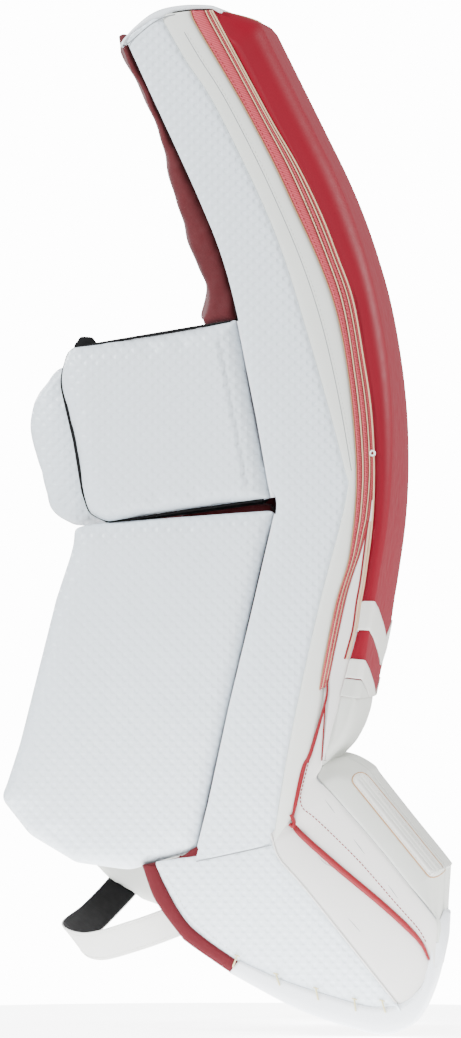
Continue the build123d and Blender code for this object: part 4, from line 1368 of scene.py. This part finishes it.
def make_wing(name, outline, y_low, y_high, edge, corner, lining_y, lining, dimple=0.0, board=True):
    """Padded wing, its lining and the piping between them."""
    hinge = outline[:2]
    shape = rounded(outline, [HINGE_CORNER] * 2 + [corner] * (len(outline) - 2))
    middle = (y_low + y_high) / 2
    pad = cushion(f"{name}_pad", shape, y_low, y_high, edge, crown=1.2, swell=2.4, dimple=dimple,
                  shape=half_round(hinge, middle, (y_high - y_low) / 2 + 1))
    nodes = [f"{name}_cover", f"{name}_foam"]
    dress(pad, "slide", name, nodes)
    if board:
        CARRIED[f"{name}_board"] = "board"
    sheet = prism(f"{name}_lining_panel", grown(shape, -5), *lining_y, 0.6, segments=2)
    material, slot = lining
    dress(sheet, material, name, (f"{name}_lining",))
    side = lining_y[0] if abs(lining_y[0]) > abs(lining_y[1]) else lining_y[1]
    rim = away_from_hinge(grown(shape, -3), hinge, 6)
    edge_cord(f"{name}_edge_cord", rim, side, 1.1, material, name)


CARRIED = {}
KNEE_BLOCK = hinge_edge(601, 451) + [
    (-96, 431), (-112, 439), (-118, 457), (-125, 499), (-137, 550), (-129, 577),
]
CALF_WING = hinge_edge(441, 157) + [
    (-77, 140), (-122, 146), (-161, 169), (-186, 200), (-171, 247), (-141, 366), (-128, 405), (-124, 427),
    (-100, 430.5), (-34, 435.5),
]
HINGE_CORNER = 2.5
KNEE_CORNERS = [11, 11, 16, 60, 40, 12]
OUTER_KNEE = hinge_edge(600, 456) + [(-84, 453), (-98, 462), (-108, 499), (-112, 550), (-100, 582)]
OUTER_CALF = hinge_edge(434, 162) + [
    (-77, 157), (-120, 158), (-150, 178), (-160, 210), (-128, 370), (-110, 430), (-96, 446), (20, 445),
]
STACK_OUTLINE = [
    (liner_line(577) - 1, 577), (liner_line(443) - 1, 443), (-128, 428), (-150, 440), (-169, 512),
    (-163, 536), (-143, 562),
]
WING_DIMPLE = 0.3
ANKLE_FLAP = [
    (-32, 148), (-140, 153), (-153, 149), (-128, 124), (-101, 108), (-90, 103), (-60, 100), (-24, 92),
]


def make_knee_block():
    """Thick hinged knee block with a black lining that shows round its rim."""
    hinge = KNEE_BLOCK[:2]
    shape = rounded(KNEE_BLOCK, [HINGE_CORNER] * 2 + KNEE_CORNERS)
    pad = cushion("knee_block_pad", shape, -140, -103, 10, crown=1.5, swell=3, dimple=WING_DIMPLE,
                  shape=half_round(hinge, -121, 19))
    dress(pad, "slide", "knee_block", ("knee_block_cover", "knee_block_foam"))
    wide = grown(rounded([shift_behind(p, hinge, 8) for p in KNEE_BLOCK], [1.5] * 2 + KNEE_CORNERS), 2.2)
    sheet = prism("knee_block_lining_panel", wide, -103.2, -100.8, 0.8, segments=2)
    dress(sheet, "black", "knee_block", ("knee_block_lining",))
    rim = away_from_hinge(grown(shape, -0.4), hinge, 4)
    edge_cord("knee_block_edge_cord", rim, -129, 1.0, "black", "knee_block")
    tab = rounded([(-130, 573), (-106, 573), (-108, 585), (-124, 588)], 3)
    pull = cushion("knee_block_pull", tab, -105, -101, 1, crown=0, swell=0.4)
    dress(pull, "black", "knee_block")


def make_wings():
    """Knee stack, knee block, the three lined wings and the ankle flap."""
    shape = rounded(STACK_OUTLINE, [3, 3, 14, 24, 40, 40, 20])
    stack = cushion("knee_stack_pad", shape, -98, -62, 8, crown=1.0, swell=3, dimple=WING_DIMPLE)
    dress(stack, "slide", "root", ("knee_stack_cover", "knee_stack_foam"))
    make_knee_block()
    red = ("liner", "red_liner")
    make_wing("calf_wing", CALF_WING, -138.3, -112.3, 9, 6, (-112, -110.5), red, WING_DIMPLE)
    make_wing("outer_knee_wing", OUTER_KNEE, 108.3, 138, 9, 9, (106.5, 108), red, 0.0, board=False)
    make_wing("outer_calf_wing", OUTER_CALF, 112.3, 138, 9, 9, (110.5, 112), red)
    flap = cushion("ankle_flap_pad", rounded(ANKLE_FLAP, 6), 108.5, 119.5, 4, crown=0.5, swell=1.5)
    dress(flap, "grey", replaced=("ankle_flap",))


make_wings()

# ---------------------------------------------------------------- straps
BOOT_STRAP_ROUTE = [
    ((-103, 126, 140), (27, 0, -13)),
    ((-116, 122, 119), (26, 0, -15)),
    ((-134, 75, 95), (23, -4, -17)),
    ((-142, -10, 80), (15, 3, -21)),
    ((-117, -62, 73), (13, 8, -23)),
    ((-76, -86, 84), (12, 8, -24)),
    ((-40, -96, 97), (14, 8, -20)),
]
BOOT_STRAP_WIDTH = 28.0
STRAP_LAYER = 1.5
LEG_STRAPS = (
    ("knee_strap", 505.0, -54.7), ("calf_strap_upper", 370.0, -88.6), ("calf_strap_lower", 235.0, -88.6),
)
LATERAL_LEG = 88.6
STRAP_REACH = -126.0
STRAP_BEND = 32.0
TAB_PIVOT = 26.0
STRAP_WIDTH = 38.0
STRAP_THICKNESS = 2.5


def strap_axes(centres, across):
    """Unit vectors along a strap's width, square to its run, and out of its face."""
    run = unit(np.gradient(centres, axis=0))
    wide = unit(across - run * np.sum(across * run, axis=1)[:, None])
    return wide, np.cross(run, wide)


def band(name, centres, across, width, thickness, lift):
    """Flat strap along centres, with rounded edges. Lift moves it off the centres, away from the leg."""
    wide, out = strap_axes(centres, across)
    half = width / 2
    bow = thickness / 2
    corner = [(half * 0.4, bow), (half - 1.4, bow), (half - 0.5, bow * 0.8)]
    upper = [(-a, b) for a, b in corner[::-1]] + corner
    section = [(-half, 0)] + upper + [(half, 0)] + [(-a, -b) for a, b in upper]
    a, b = np.array(section).T[:, None, :, None]
    return sweep(name, centres[:, None] + wide[:, None] * a + out[:, None] * (b + lift))


def make_boot_strap():
    """Boot strap, white outside and black inside, with two rows of stitching."""
    centres = smooth([centre for centre, width in BOOT_STRAP_ROUTE], 90)
    across = smooth([width for centre, width in BOOT_STRAP_ROUTE], 90)
    outer = band("boot_strap_outer", centres, across, BOOT_STRAP_WIDTH, STRAP_LAYER, -STRAP_LAYER / 2)
    dress(outer, "strap", "boot_strap", ("boot_strap",))
    inner = band("boot_strap_inner", centres, across, BOOT_STRAP_WIDTH - 1, STRAP_LAYER, STRAP_LAYER / 2)
    dress(inner, "black", "boot_strap", ("boot_strap_lining",))
    wide, out = strap_axes(centres, across)
    for side in (-1, 1):
        line = centres + wide * side * (BOOT_STRAP_WIDTH / 2 - 3) - out * (STRAP_LAYER + 0.05)
        rows = stitches(f"boot_strap_stitch_{'low' if side < 0 else 'high'}", line, pitch=4, radius=0.28)
        dress(rows, "white_thread", "boot_strap")


def make_leg_straps():
    """Leather straps round the leg, bent with an even radius, stitched along both edges."""
    for name, z, medial_leg in LEG_STRAPS:
        front = liner_line(z) - TAB_PIVOT + 12
        corners = [(medial_leg, 1), (LATERAL_LEG, -1)]
        path = [(front, medial_leg)]
        for leg, turn in corners:
            for angle in np.linspace(0, math.pi / 2, 12):
                swing = angle if turn > 0 else math.pi / 2 - angle
                path.append((STRAP_REACH + STRAP_BEND * (1 - math.sin(swing)),
                             leg + turn * STRAP_BEND * (1 - math.cos(swing))))
        path.append((front, LATERAL_LEG))
        line = resample(path, 120)
        centres = np.stack([line[:, 0], line[:, 1], np.full(120, z)], axis=1)
        up = np.tile([0.0, 0.0, 1.0], (120, 1))
        strap = band(f"{name}_band", centres, up, STRAP_WIDTH, STRAP_THICKNESS, -STRAP_THICKNESS / 2)
        dress(strap, "harness", name, (name,))
        out = strap_axes(centres, up)[1]
        for side in (-1, 1):
            row = centres + np.array([0, 0, side * 15.5]) - out * 0.1
            inner = stitches(f"{name}_stitch_{'low' if side < 0 else 'high'}", row[6:-6], pitch=5, radius=0.3)
            dress(inner, "white_thread", name)


make_boot_strap()
make_leg_straps()

# ---------------------------------------------------------------- carried-over CAD nodes
CARRIED.update({
    "strap_tabs": "tab", "strap_rivets": "steel", "toe_bridge": "bridge", "toe_eyelets": "brass",
})
for node, material in CARRIED.items():
    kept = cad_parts[node]
    kept.data.materials.clear()
    kept.data.materials.append(FINISH[material])


FLOOR_RADIUS = 0.5


def make_floor():
    """Plain pale floor, a wide round sheet."""
    work = bmesh.new()
    bmesh.ops.create_circle(work, cap_ends=True, segments=96, radius=FLOOR_RADIUS)
    floor = place_work("floor", work)
    finish = Finish("floor_paper", 0.8)
    finish.colour(srgb(252, 252, 252), srgb(254, 254, 254), finish.noise(900))
    finish.shader.inputs["Emission Color"].default_value = (1, 1, 1, 1)
    finish.shader.inputs["Emission Strength"].default_value = 5.5
    floor.data.materials.append(finish.material)


make_floor()
